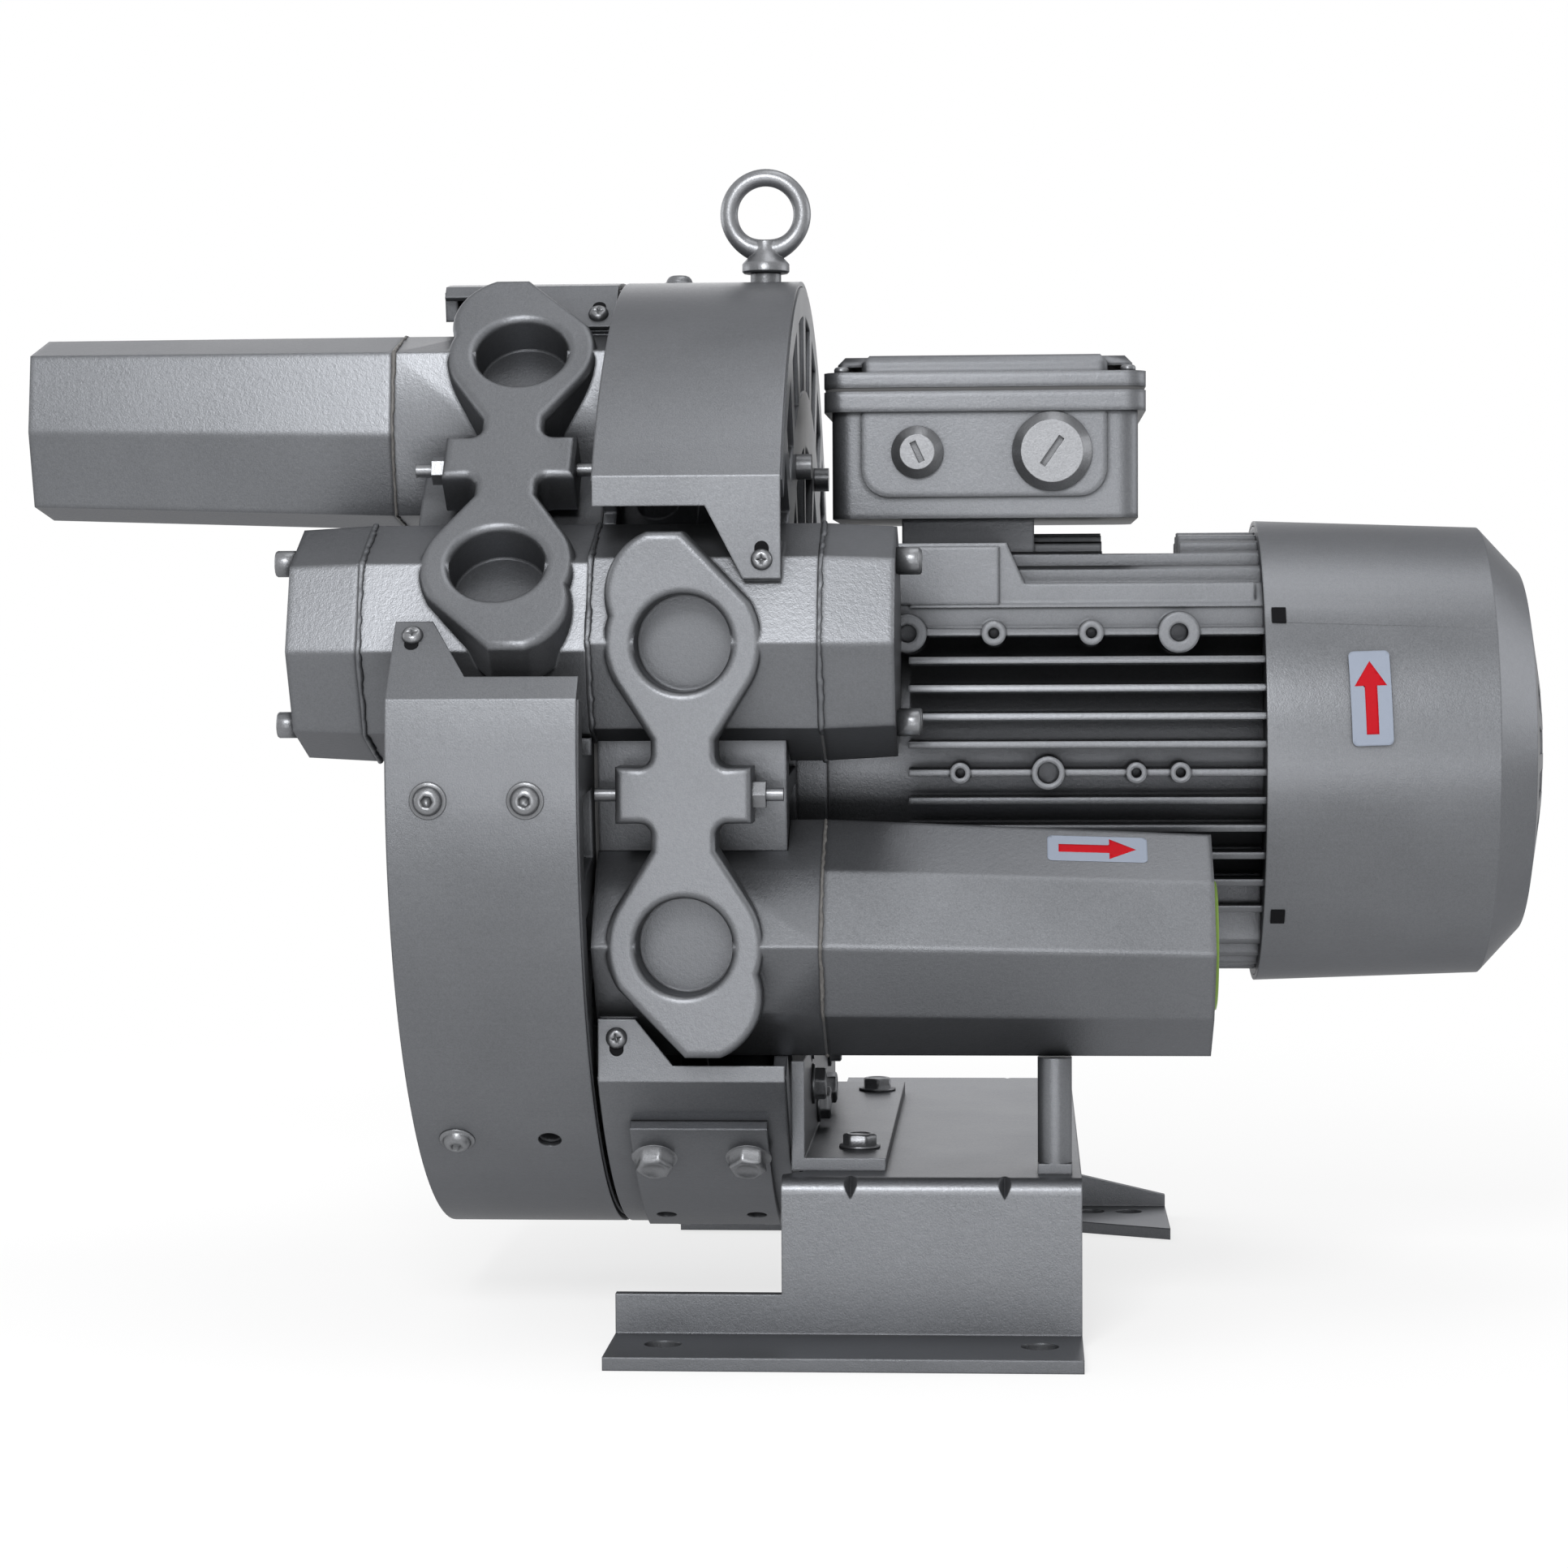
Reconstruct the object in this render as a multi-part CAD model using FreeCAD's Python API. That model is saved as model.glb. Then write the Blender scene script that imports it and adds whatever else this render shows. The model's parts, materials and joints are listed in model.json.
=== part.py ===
"""Two-stage side channel blower with a flange motor.

X runs along the shaft and points to the motor's fan, Z is up, and the front with the
silencers faces -Y. The origin lies on the floor, in the middle of the foot's four bolt holes.
Both stages are the same castings: the first is the second turned half round and rolled about
the shaft until the two ducts between them line up. All sizes are in millimetres.
"""
import FreeCAD
import Part
import math
import os

V = FreeCAD.Vector
X_AXIS = V(1, 0, 0)
Y_AXIS = V(0, 1, 0)
Z_AXIS = V(0, 0, 1)

# Places of the whole
shaft_height = 220.0
split_x = -96.0
seat_gap = 0.3
running_gap = 0.05

# Stage casings
casing_gap = 1.5
casing_width = 71.0
casing_r = 140.0
rim_width = 5.0
rim_hole_inner_r = 148.0
rim_hole_outer_r = 178.0
rim_hole_count = 24
rim_hole_share = 0.68
channel_inner_r = 92.0
channel_outer_r = 124.0
channel_depth = 11.0
bearing_r = 23.5
bearing_width = 14.0
seal_r = 18.0
seal_width = 5.0
tie_bolt_circle_r = 132.0
tie_bolt_r = 3.0
tie_bolt_head_r = 5.0
tie_bolt_degs = (0, 60, 120, 240, 300)
pocket_inner_r = 80.0
pocket_outer_r = 125.0
pocket_depth = 5.0
pocket_count = 12
pocket_share = 0.86

# Impellers
impeller_width = 29.0
impeller_side_gap = 0.6
impeller_tip_gap = 1.5
impeller_blade_count = 30
impeller_blade = 2.5
impeller_web = 6.0
impeller_root_r = 94.0
impeller_hub_r = 24.0

# Shaft and bearings
shaft_r = 12.5
bearing_cap_r = 32.0
bearing_cap = 5.0

# Ducts in the front of each stage, all eight-sided
duct_distance = 120.0
duct_spacing = 112.4
duct_drop = 10.5
duct_point_r = 45.0
cross_duct_side_r = 45.0
duct_side_r = 38.5
duct_wall = 4.5
duct_end = 85.0
duct_port_r = 11.0
gasket = 1.0
cap_length = 27.0
cap_draft = 1.5
cap_wall = 12.0
cap_bolt_degs = (67.5, 112.5, 247.5, 292.5)
cap_bolt_circle_r = 33.0
cap_bolt_r = 3.0
cap_bolt_head_r = 5.0
cap_bolt_head = 9.0
cap_bolt_depth = 12.0

# Front plate of each manifold
plate_x = 35.0
plate_face = 165.4
plate_thickness = 20.0
plate_half_width = 29.3
plate_tip = 41.2
plate_waist = 12.0
plate_lug_half_width = 25.3
plate_lug_half_height = 10.5
plate_hole_r = 18.0
plate_hole_depth = 17.0
plate_edge_round = 3.0
plate_notch_r = 4.5
lug_stud_r = 2.5
lug_stud_inset = 9.0
lug_nut_r = 5.5
lug_nut = 5.0

# Silencers
silencer_length = 145.0
silencer_end_point_r = 42.0
silencer_end_side_r = 36.0
silencer_end_drop = 3.0
silencer_wall = 4.0
silencer_end_wall = 22.0
port_r = 22.4
liner_wall = 8.0
port_ring_r = 30.0
port_ring_thickness = 4.0

# Sheet metal hoods round the stages
hood_r = 192.0
hood_sheet = 2.0
hood_margin = 0.6
hood_upper_deg = 34.0
hood_lower_deg = 38.0
hood_upper_strip = 11.0
hood_lower_strip = 6.0
hood_upper_tab = 38.0
hood_lower_tab = 23.5
hood_tab_width = 14.0
hood_tab_slope = 14.0
boss_r = 8.0
boss_degs = (45, 90, 135, 180, 225, 270, 310)
bracket_boss_deg = 310
boss_inner_x = 20.0
boss_outer_x = 55.6
hood_screw_r = 3.0
hood_screw_head_r = 6.2
hood_screw_head = 4.0
tab_screw_r = 2.0
tab_screw_head_r = 4.0
tab_screw_head = 2.4

# Lifting eye
eye_shank_r = 4.0
eye_shank = 16.0
eye_collar_r = 9.5
eye_collar = 13.0
eye_ring_r = 15.0
eye_wire_r = 3.6

# Motor
motor_rear_x = 158.0
motor_core_r = 70.0
motor_fin_r = 89.0
motor_bore_r = 62.0
fin_start_x = 20.0
fin_pitch = 10.9
fin_thickness = 2.6
side_fin_rows = 6
end_fin_rows = 5
band_y = 65.0
band_bottom = 48.0
band_top = 68.0
shoulder_top = 84.0
shoulder_bottom_x = 65.0
shoulder_top_x = 58.0
shoulder_pad = 1.5
upper_boss_z = 48.6
upper_bosses = ((19.4, 7.5, 3.6), (53.0, 4.8, 2.2), (91.0, 4.8, 2.2), (125.0, 8.0, 3.6))
lower_boss_z = -5.45
lower_bosses = ((40.0, 4.0, 2.0), (74.0, 6.4, 4.2), (108.0, 4.0, 2.0), (125.0, 4.0, 2.0))
boss_hole_depth = 12.0
earth_gap_x = (96.0, 127.0)
earth_gap = 9.0
collar_length = 10.0
stator_start_x = 30.0
stator_length = 95.0
air_gap = 0.5
rotor_r = 38.0
winding_length = 22.0
winding_wall = 14.0
endshield_thickness = 10.0
fan_cover_r = 93.6
fan_cover_wall = 2.0
fan_cover_length = 112.0
fan_cover_straight = 89.5
fan_cover_cone = 16.0
fan_cover_end_r = 76.5
fan_cover_slot_count = 20
fan_cover_slot_rings = 3
snap_width_deg = 4.0
snap_length = 5.0
snap_angles = (36.0, -42.0, 144.0, -138.0)
fan_r = 76.0
fan_width = 34.0
fan_gap = 16.0
fan_blade = 2.5
fan_blade_count = 7
fan_hub_r = 22.0

# Terminal box
box_x = -11.0
box_length = 121.0
box_depth = 112.0
box_floor = 94.0
box_height = 50.0
box_wall = 4.0
box_corner_r = 8.0
box_flange = 3.0
box_flange_height = 8.0
box_gasket = 1.5
box_panel_x = 1.0
box_panel_length = 96.5
box_panel_floor = 8.5
box_panel_corner = 11.0
box_panel_rise = 1.4
lid_height = 13.0
lid_step = 6.0
neck_x = 16.0
neck_length = 53.0
neck_width = 60.0
neck_wall = 12.0
small_plug_x = 34.0
small_plug_r = 10.3
large_plug_x = 87.0
large_plug_r = 15.7
plug_height = 26.0
plug_head = 5.0
plug_shank_share = 0.72
lid_screw_r = 1.5
lid_screw_head_r = 3.0
lid_screw_inset = 5.5
lid_ear = 10.0
lid_edge = 3.0

# Foot, one bent sheet
foot_sheet = 5.0
foot_table = 64.0
foot_bolt_x = 140.0
foot_bolt_y = 322.0
foot_hole_r = 7.0
foot_left_x = -90.0
foot_right_x = 86.0
foot_table_left_x = -16.0
foot_leg_left_x = -27.0
foot_dent_x = (-1.0, 57.0)
foot_dent_width = 11.0
foot_dent_length = 8.0
foot_front_flange = 26.0
foot_rear_flange = 49.0
foot_bolt_edge = 21.0
foot_lip = 20.0
foot_rear_right_x = 129.0
foot_rear_slots = (95.0, 112.0)
cradle_sheet = 5.0
cradle_half_width = 120.0
cradle_top = 42.0
cradle_flange = 36.0
cradle_bolt_degs = (244, 260, 280, 296)
foot_screw_r = 4.0
foot_screw_head_r = 7.0
foot_screw_head = 5.5
bracket_sheet = 4.0
bracket_from_deg = 44.5
bracket_to_deg = 71.0
bracket_half_width = 26.0
silencer_post_x = 76.0
silencer_post_r = 6.5
silencer_post_foot = 4.0
bracket_bolt_r = 7.5
bracket_bolt_head = 6.0

# Worked out from the sizes above
casing_inner_x = casing_gap / 2
casing_mid_x = casing_inner_x + casing_width / 2
casing_outer_x = casing_inner_x + casing_width
rim_r = hood_r - hood_sheet - seat_gap
duct_upper = duct_spacing / 2 - duct_drop
duct_lower = -duct_spacing / 2 - duct_drop
duct_front = duct_distance
stage_roll_deg = 2 * math.degrees(math.atan2(duct_upper, duct_distance))
cavity_half = impeller_width / 2 + impeller_side_gap
silencer_start_x = duct_end + gasket
silencer_port_z = duct_lower - silencer_end_drop
motor_front_x = split_x + casing_outer_x
fan_cover_rear_x = motor_rear_x + fan_cover_length
foot_front_y = -foot_bolt_y / 2 + foot_bolt_edge
foot_rear_y = foot_bolt_y / 2 + foot_bolt_edge


def x_cylinder(x0, x1, r, y=0.0, z=0.0):
    return Part.makeCylinder(r, x1 - x0, V(x0, y, z), X_AXIS)


def x_tube(x0, x1, outer, inner, y=0.0, z=0.0):
    return x_cylinder(x0, x1, outer, y, z).cut(x_cylinder(x0 - 1, x1 + 1, inner, y, z))


def slab(x0, x1, y0, y1, z0, z1):
    return Part.makeBox(x1 - x0, y1 - y0, z1 - z0, V(x0, y0, z0))


def face_of(points):
    return Part.Face(Part.makePolygon(points + [points[0]]))


def turned(shape, degrees, axis=X_AXIS, centre=None):
    copy = shape.copy()
    copy.rotate(centre or V(0, 0, 0), axis, degrees)
    return copy


def fused(shapes):
    first, rest = shapes[0], shapes[1:]
    return first.multiFuse(rest).removeSplitter() if rest else first


def radial_cylinder(x, degrees, r0, r1, radius):
    """A rod that points away from the shaft, degrees counted from the front upwards."""
    rod = Part.makeCylinder(radius, r1 - r0, V(x, -r0, 0), V(0, -1, 0))
    return turned(rod, -degrees)


def sector(x0, x1, outer, from_deg, to_deg):
    """A wedge about the shaft between two angles, counted from the front upwards."""
    wedge = Part.makeCylinder(outer, x1 - x0, V(0, 0, 0), Z_AXIS, to_deg - from_deg)
    wedge.rotate(V(0, 0, 0), Y_AXIS, 90)
    wedge.translate(V(x0, 0, 0))
    return turned(wedge, -90 - to_deg)


def octagon_points(x, y, z, point_r, side_r):
    corners = []
    for k in range(8):
        r = point_r if k % 2 == 0 else side_r
        angle = math.radians(45 * k)
        corners.append(V(x, y - r * math.cos(angle), z + r * math.sin(angle)))
    return corners


def octagon_bar(x0, x1, y, z, point_r, side_r):
    return face_of(octagon_points(x0, y, z, point_r, side_r)).extrude(V(x1 - x0, 0, 0))


def octagon_taper(x0, x1, y, z, start, end, rise=0.0):
    wires = []
    for x, zz, radii in ((x0, z, start), (x1, z + rise, end)):
        points = octagon_points(x, y, zz, *radii)
        wires.append(Part.makePolygon(points + points[:1]))
    return Part.makeLoft(wires, True, True)


def hex_head(x0, x1, radius, y, z):
    turns = [math.radians(60 * k) for k in range(6)]
    corners = [V(x0, y + radius * math.cos(a), z + radius * math.sin(a)) for a in turns]
    return face_of(corners).extrude(V(x1 - x0, 0, 0))


# One stage, drawn as the second stage about a shaft through the origin
def side_channel(x_face, direction):
    """The ring-shaped groove beside the impeller's blades, with sloping sides."""
    slope = (channel_outer_r - channel_inner_r) / 4
    deep = x_face + direction * channel_depth
    outline = [V(x_face, 0, channel_inner_r), V(deep, 0, channel_inner_r + slope),
               V(deep, 0, channel_outer_r - slope), V(x_face, 0, channel_outer_r)]
    return face_of(outline).revolve(V(0, 0, 0), X_AXIS, 360)


def casing_rim(x0):
    """The open wheel at the side of a casing half, which carries the hood."""
    rim = x_tube(x0, x0 + rim_width, rim_r, casing_r - 1)
    step = 360.0 / rim_hole_count
    hole = sector(x0 - 1, x0 + rim_width + 1, rim_hole_outer_r, 0, step * rim_hole_share)
    hole = hole.cut(x_cylinder(x0 - 2, x0 + rim_width + 2, rim_hole_inner_r))
    rim = rim.cut(Part.makeCompound([turned(hole, step * k) for k in range(rim_hole_count)]))
    front = sector(x0 - 1, x0 + rim_width + 1, hood_r + 1, -hood_lower_deg, hood_upper_deg)
    return rim.cut(front.cut(x_cylinder(x0 - 2, x0 + rim_width + 2, casing_r)))


def casing_bosses(x):
    """Posts that the hood is screwed to, all round but at the front."""
    return [radial_cylinder(x, a, casing_r - 2, rim_r, boss_r) for a in boss_degs]


def boss_holes(x):
    depth = eye_shank + 2
    return [radial_cylinder(x, a, rim_r - depth, rim_r + 1, eye_shank_r + running_gap) for a in boss_degs]


def duct_room():
    """What the casing leaves free for the two ducts in front of it."""
    rooms = []
    for z, side_r in ((duct_upper, cross_duct_side_r), (duct_lower, duct_side_r)):
        room = octagon_bar(-1, duct_end, -duct_front, z, duct_point_r + 1, side_r + 1)
        rooms.append(room.cut(x_cylinder(-2, duct_end + 1, casing_r)))
    return Part.makeCompound(rooms)


def port_holes():
    return [Part.makeCylinder(duct_port_r, casing_r, V(casing_mid_x, 0, z), V(0, -1, 0))
            for z in (duct_upper, duct_lower)]


def casing_half(outer):
    """Half a stage's casing, with half its channel. The outer half has a bearing seat."""
    if outer:
        x0, x1, rim_x, way = casing_mid_x, casing_outer_x, casing_outer_x - rim_width, 1
        boss_x = boss_outer_x
    else:
        x0, x1, rim_x, way = casing_inner_x, casing_mid_x, casing_inner_x, -1
        boss_x = boss_inner_x
    body = fused([x_cylinder(x0, x1, casing_r), casing_rim(rim_x)] + casing_bosses(boss_x))
    cavity_x = casing_mid_x + way * cavity_half
    low, high = sorted((casing_mid_x - way, cavity_x))
    cuts = [x_cylinder(low, high, channel_outer_r), side_channel(cavity_x, way)]
    cuts += [x_cylinder(x0 - 1, x1 + 1, shaft_r + seat_gap), duct_room()]
    cuts += boss_holes(boss_x)
    cuts += [rod.common(x_tube(x0 - 1, x1 + 1, casing_r + 1, channel_outer_r - 1)) for rod in port_holes()]
    cuts += [x_cylinder(x0 - 1, x1 + 1, tie_bolt_r + running_gap, y, z) for y, z in tie_bolt_places()]
    if outer:
        cuts += casing_pockets()
        cuts += [x_cylinder(casing_outer_x - 3, x1 + 1, foot_screw_r + running_gap, y, z)
                 for y, z in cradle_rim_places()]
        cuts.append(x_cylinder(casing_outer_x - bearing_width, x1 + 1, bearing_r + running_gap))
        cuts.append(x_cylinder(casing_outer_x - bearing_width - seal_width, x1 + 1, seal_r + running_gap))
    return body.cut(cuts)


def casing_pockets():
    """Shallow pockets in the outer face, which leave ribs like spokes."""
    x0, x1 = casing_outer_x - pocket_depth, casing_outer_x + 1
    step = 360.0 / pocket_count
    pocket = sector(x0, x1, pocket_outer_r, 0, step * pocket_share)
    pocket = pocket.cut(x_cylinder(x0 - 1, x1 + 1, pocket_inner_r))
    return [turned(pocket, step * (k + 0.07)) for k in range(pocket_count)]


def tie_bolt_places():
    angles = [math.radians(a) for a in tie_bolt_degs]
    return [(tie_bolt_circle_r * math.cos(a), tie_bolt_circle_r * math.sin(a)) for a in angles]


def tie_bolts():
    bolts = []
    for y, z in tie_bolt_places():
        shank = x_cylinder(casing_inner_x + 2, casing_outer_x, tie_bolt_r, y, z)
        head = x_cylinder(casing_outer_x, casing_outer_x + 2 * tie_bolt_r, tie_bolt_head_r, y, z)
        bolts.append(shank.fuse(head).removeSplitter())
    return bolts


def impeller():
    """A disc with blades in two rows, one for each side channel."""
    half = impeller_width / 2
    x0, x1 = casing_mid_x - half, casing_mid_x + half
    tip_r = channel_outer_r - impeller_tip_gap
    parts = [x_cylinder(casing_mid_x - impeller_web / 2, casing_mid_x + impeller_web / 2, tip_r)]
    parts.append(x_cylinder(x0, x1, impeller_hub_r))
    parts.append(x_tube(x0, x1, impeller_root_r, impeller_root_r - impeller_web))
    blade = slab(x0, x1, -impeller_blade / 2, impeller_blade / 2, impeller_root_r - 1, tip_r)
    blade = blade.common(x_cylinder(x0, x1, tip_r))
    parts += [turned(blade, 360.0 / impeller_blade_count * k) for k in range(impeller_blade_count)]
    return fused(parts).cut(x_cylinder(x0 - 1, x1 + 1, shaft_r))


def plate_outline():
    """The two-lobed front plate, drawn flat: the lower half is the upper one, turned half round."""
    lobe = duct_spacing / 2
    w = plate_half_width
    lug_x, lug_z = plate_lug_half_width, plate_lug_half_height
    n = plate_notch_r
    neck_z = lug_z + 2.2 * n
    flank_x, flank_z = 0.853 * w, 0.53 * w
    tip_z = lobe + plate_tip
    steps = [((plate_waist + n, lug_z), None),
             ((plate_waist, lug_z + n), (plate_waist + 0.3 * n, lug_z + 0.3 * n)),
             ((plate_waist, neck_z), None),
             ((flank_x, lobe - flank_z), None),
             ((flank_x, lobe + flank_z), (w, lobe)),
             ((0, tip_z), None),
             ((-0.45 * w, tip_z), None),
             ((-0.94 * w, lobe + 0.34 * w), (-0.82 * w, lobe + 1.12 * w)),
             ((-flank_x, lobe - flank_z), (-w, lobe)),
             ((-plate_waist, neck_z), None),
             ((-plate_waist, lug_z + n), None),
             ((-plate_waist - n, lug_z), (-plate_waist - 0.3 * n, lug_z + 0.3 * n)),
             ((-lug_x, lug_z), None),
             ((-lug_x, -lug_z), None)]
    edges = []
    for turn in (1, -1):
        last = plate_point(turn * lug_x, turn * lug_z)
        for (x, z), via in steps:
            end = plate_point(turn * x, turn * z)
            if via:
                edges.append(Part.Arc(last, plate_point(turn * via[0], turn * via[1]), end).toShape())
            else:
                edges.append(Part.LineSegment(last, end).toShape())
            last = end
    return Part.Face(Part.Wire(edges))


def plate_point(x, z):
    return V(plate_x + x, -plate_face + plate_thickness, z - duct_drop)


def plate_recesses():
    places = [V(plate_x, -plate_face - 1, z) for z in (duct_upper, duct_lower)]
    return [Part.makeCylinder(plate_hole_r, plate_hole_depth + 1, place, Y_AXIS) for place in places]


def front_plate():
    plate = plate_outline().extrude(V(0, -plate_thickness, 0)).cut(plate_recesses())
    rim = [e for e in plate.Edges if all(abs(v.Point.y + plate_face) < 1e-6 for v in e.Vertexes)]
    return plate.makeFillet(plate_edge_round, rim)


def manifold(stage):
    """Two eight-sided ducts with closed backs against the casing, joined by the front plate."""
    bars, hollows = [], []
    back = x_cylinder(-2, casing_outer_x + seat_gap, casing_r + seat_gap)
    back_wall = x_cylinder(-3, casing_outer_x + duct_wall, casing_r + seat_gap + duct_wall)
    ducts = ((duct_upper, -1, cross_duct_side_r), (duct_lower, gasket / 2 + duct_wall, duct_side_r))
    for z, bore_x, side_r in ducts:
        bars.append(octagon_bar(gasket / 2, duct_end, -duct_front, z, duct_point_r, side_r))
        radii = (duct_point_r - duct_wall, side_r - duct_wall)
        hollows.append(octagon_bar(bore_x, duct_end + 1, -duct_front, z, *radii).cut(back_wall))
    lugs = [tab_lug(True), tab_lug(False)]
    body = fused(bars + lugs).cut(hollows).fuse(cap_bolt_bosses(stage))
    body = body.fuse(front_plate().cut(hollows)).fuse(recess_cups())
    holes = cap_bolt_holes(stage) + port_holes() + tab_screw_holes() + [lug_stud(lug_stud_r + running_gap)]
    body = body.cut([back] + plate_recesses() + holes)
    return body.removeSplitter()


def recess_cups():
    """Floors and walls that close the plate's two recesses off from the ducts."""
    depth = plate_hole_depth + duct_wall
    cups = []
    for z in (duct_upper, duct_lower):
        floor = V(plate_x, -plate_face + depth, z)
        cups.append(Part.makeCylinder(plate_hole_r + duct_wall, depth - plate_edge_round, floor, V(0, -1, 0)))
    return cups


def lug_stud_y():
    return -plate_face + lug_stud_inset


def lug_stud(radius=lug_stud_r):
    return x_cylinder(2 * casing_inner_x, casing_outer_x, radius, lug_stud_y(), -duct_drop)


def lug_nut_ring():
    x0 = plate_x + plate_lug_half_width
    nut = hex_head(x0, x0 + lug_nut, lug_nut_r, lug_stud_y(), -duct_drop)
    return nut.cut(x_cylinder(x0 - 1, x0 + lug_nut + 1, lug_stud_r + running_gap, lug_stud_y(), -duct_drop))


def hood_end(upper):
    angle = math.radians(hood_upper_deg if upper else -hood_lower_deg)
    return -hood_r * math.cos(angle), hood_r * math.sin(angle)


def tab_place(upper):
    """Where the tab's screw is: x, the tab's inner face, z, and the way from the hood's end."""
    y, z = hood_end(upper)
    way = -1 if upper else 1
    tab = hood_upper_tab if upper else hood_lower_tab
    inset = hood_margin + hood_tab_width / 2
    x = casing_outer_x - inset if upper else casing_inner_x + inset
    return x, y + hood_sheet, z + way * (tab - hood_tab_width / 2), way


def tab_lug(upper):
    x, y, z, way = tab_place(upper)
    half = hood_tab_width / 2
    return slab(x - half, x + half, y + seat_gap, -duct_front, z - half, z + half)


def tab_screw_holes():
    holes = []
    for upper in (True, False):
        x, y, z, way = tab_place(upper)
        holes.append(Part.makeCylinder(tab_screw_r + running_gap, 14, V(x, y - 3, z), Y_AXIS))
    return holes


def button_head(radius, height, place):
    return Part.makeCone(radius, 0.6 * radius, height, place, V(0, -1, 0))


def tab_screws():
    screws = []
    for upper in (True, False):
        x, y, z, way = tab_place(upper)
        face = y - hood_sheet
        head = button_head(tab_screw_head_r, tab_screw_head, V(x, face, z))
        shank = Part.makeCylinder(tab_screw_r, 9, V(x, face, z), Y_AXIS)
        screws.append(head.fuse(shank).removeSplitter())
    return screws


def hood_end_plate(upper):
    """The folded strip at the hood's end, with a tab that slopes down to its screw."""
    y, z = hood_end(upper)
    way = -1 if upper else 1
    strip, tab = (hood_upper_strip, hood_upper_tab) if upper else (hood_lower_strip, hood_lower_tab)
    x0, x1 = casing_inner_x + hood_margin, casing_outer_x - hood_margin
    if not upper:
        x0, x1 = x1, x0
    across = 1 if x1 > x0 else -1
    outline = [V(x0, y, z), V(x1, y, z), V(x1, y, z + way * tab),
               V(x1 - across * hood_tab_width, y, z + way * tab),
               V(x1 - across * (hood_tab_width + hood_tab_slope), y, z + way * strip),
               V(x0, y, z + way * strip)]
    return face_of(outline).extrude(V(0, hood_sheet, 0))


def hood(screw_angles):
    x0, x1 = casing_inner_x + hood_margin, casing_outer_x - hood_margin
    ring = x_tube(x0, x1, hood_r, hood_r - hood_sheet)
    ring = ring.cut(sector(x0 - 1, x1 + 1, hood_r + 5, -hood_lower_deg, hood_upper_deg))
    body = fused([ring, hood_end_plate(True), hood_end_plate(False)])
    holes = [radial_cylinder(x, a, hood_r - 9, hood_r + 9, hood_screw_r + 1.5)
             for a in screw_angles for x in (boss_inner_x, boss_outer_x)]
    holes += tab_screw_holes()
    return body.cut(holes)


def hood_screw(x, degrees):
    """A round-headed screw through the hood into its boss."""
    base = hood_r
    head = button_head(hood_screw_head_r, hood_screw_head, V(x, -base, 0))
    head = head.cut(hex_socket(x, base + hood_screw_head))
    shank = Part.makeCylinder(hood_screw_r, eye_shank, V(x, -base, 0), Y_AXIS)
    return turned(head.fuse(shank).removeSplitter(), -degrees)


def hex_socket(x, top):
    corners = [V(x + 2.3 * math.cos(math.radians(60 * k)), -top - 1, 2.3 * math.sin(math.radians(60 * k)))
               for k in range(6)]
    return face_of(corners).extrude(V(0, 3.2, 0))


def duct_gasket(x0, z, side_r, holes=()):
    bar = octagon_bar(x0, x0 + gasket, -duct_front, z, duct_point_r, side_r)
    room = octagon_bar(x0 - 1, x0 + gasket + 1, -duct_front, z, duct_point_r - duct_wall, side_r - duct_wall)
    return bar.cut([room] + list(holes))


def cap_bolt_places(stage):
    """Four bolts about the crossover duct, upright in the finished blower on both stages."""
    turn = stage_roll_deg if stage == 1 else 0.0
    angles = [math.radians(a + turn) for a in cap_bolt_degs]
    r = cap_bolt_circle_r
    return [(-duct_front - r * math.cos(a), duct_upper + r * math.sin(a)) for a in angles]


def cap_bolt_holes(stage):
    return [x_cylinder(duct_end - cap_bolt_depth, duct_end + cap_length + 2, cap_bolt_r + running_gap, y, z)
            for y, z in cap_bolt_places(stage)]


def cap_bolt_bosses(stage):
    x0 = duct_end - cap_bolt_depth - 3
    limit = octagon_bar(x0, duct_end, -duct_front, duct_upper, duct_point_r, cross_duct_side_r)
    return [x_cylinder(x0, duct_end, cap_bolt_r + 3, y, z).common(limit) for y, z in cap_bolt_places(stage)]


def duct_cap(stage):
    """The closed end of the duct that joins the stages."""
    x0 = duct_end + gasket
    outer = (duct_point_r, cross_duct_side_r)
    end = [r - cap_draft for r in outer]
    inner = [r - cap_wall for r in outer]
    cap = octagon_taper(x0, x0 + cap_length, -duct_front, duct_upper, outer, end)
    room = octagon_bar(x0 - 1, x0 + cap_length - duct_wall, -duct_front, duct_upper, *inner)
    return cap.cut([room] + cap_bolt_holes(stage))


def cap_bolts(stage):
    bolts = []
    x1 = duct_end + gasket + cap_length
    for y, z in cap_bolt_places(stage):
        shank = x_cylinder(duct_end - cap_bolt_depth + 2, x1, cap_bolt_r, y, z)
        head = x_cylinder(x1, x1 + cap_bolt_head, cap_bolt_head_r, y, z)
        bolts.append(shank.fuse(head).removeSplitter())
    return bolts


def silencer():
    """An eight-sided housing that narrows from above, with the threaded port in its end."""
    x0, x1 = silencer_start_x, silencer_start_x + silencer_length
    start = (duct_point_r, duct_side_r)
    end = (silencer_end_point_r, silencer_end_side_r)
    body = octagon_taper(x0, x1, -duct_front, duct_lower, start, end, -silencer_end_drop)
    inner = octagon_taper(x0 - 0.01, x1 - silencer_end_wall, -duct_front, duct_lower,
                          tuple(r - silencer_wall for r in start),
                          tuple(r - silencer_wall + 0.6 for r in end), -silencer_end_drop)
    return body.cut([inner, x_cylinder(x0, x1 + 1, port_r, -duct_front, silencer_port_z)])


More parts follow.
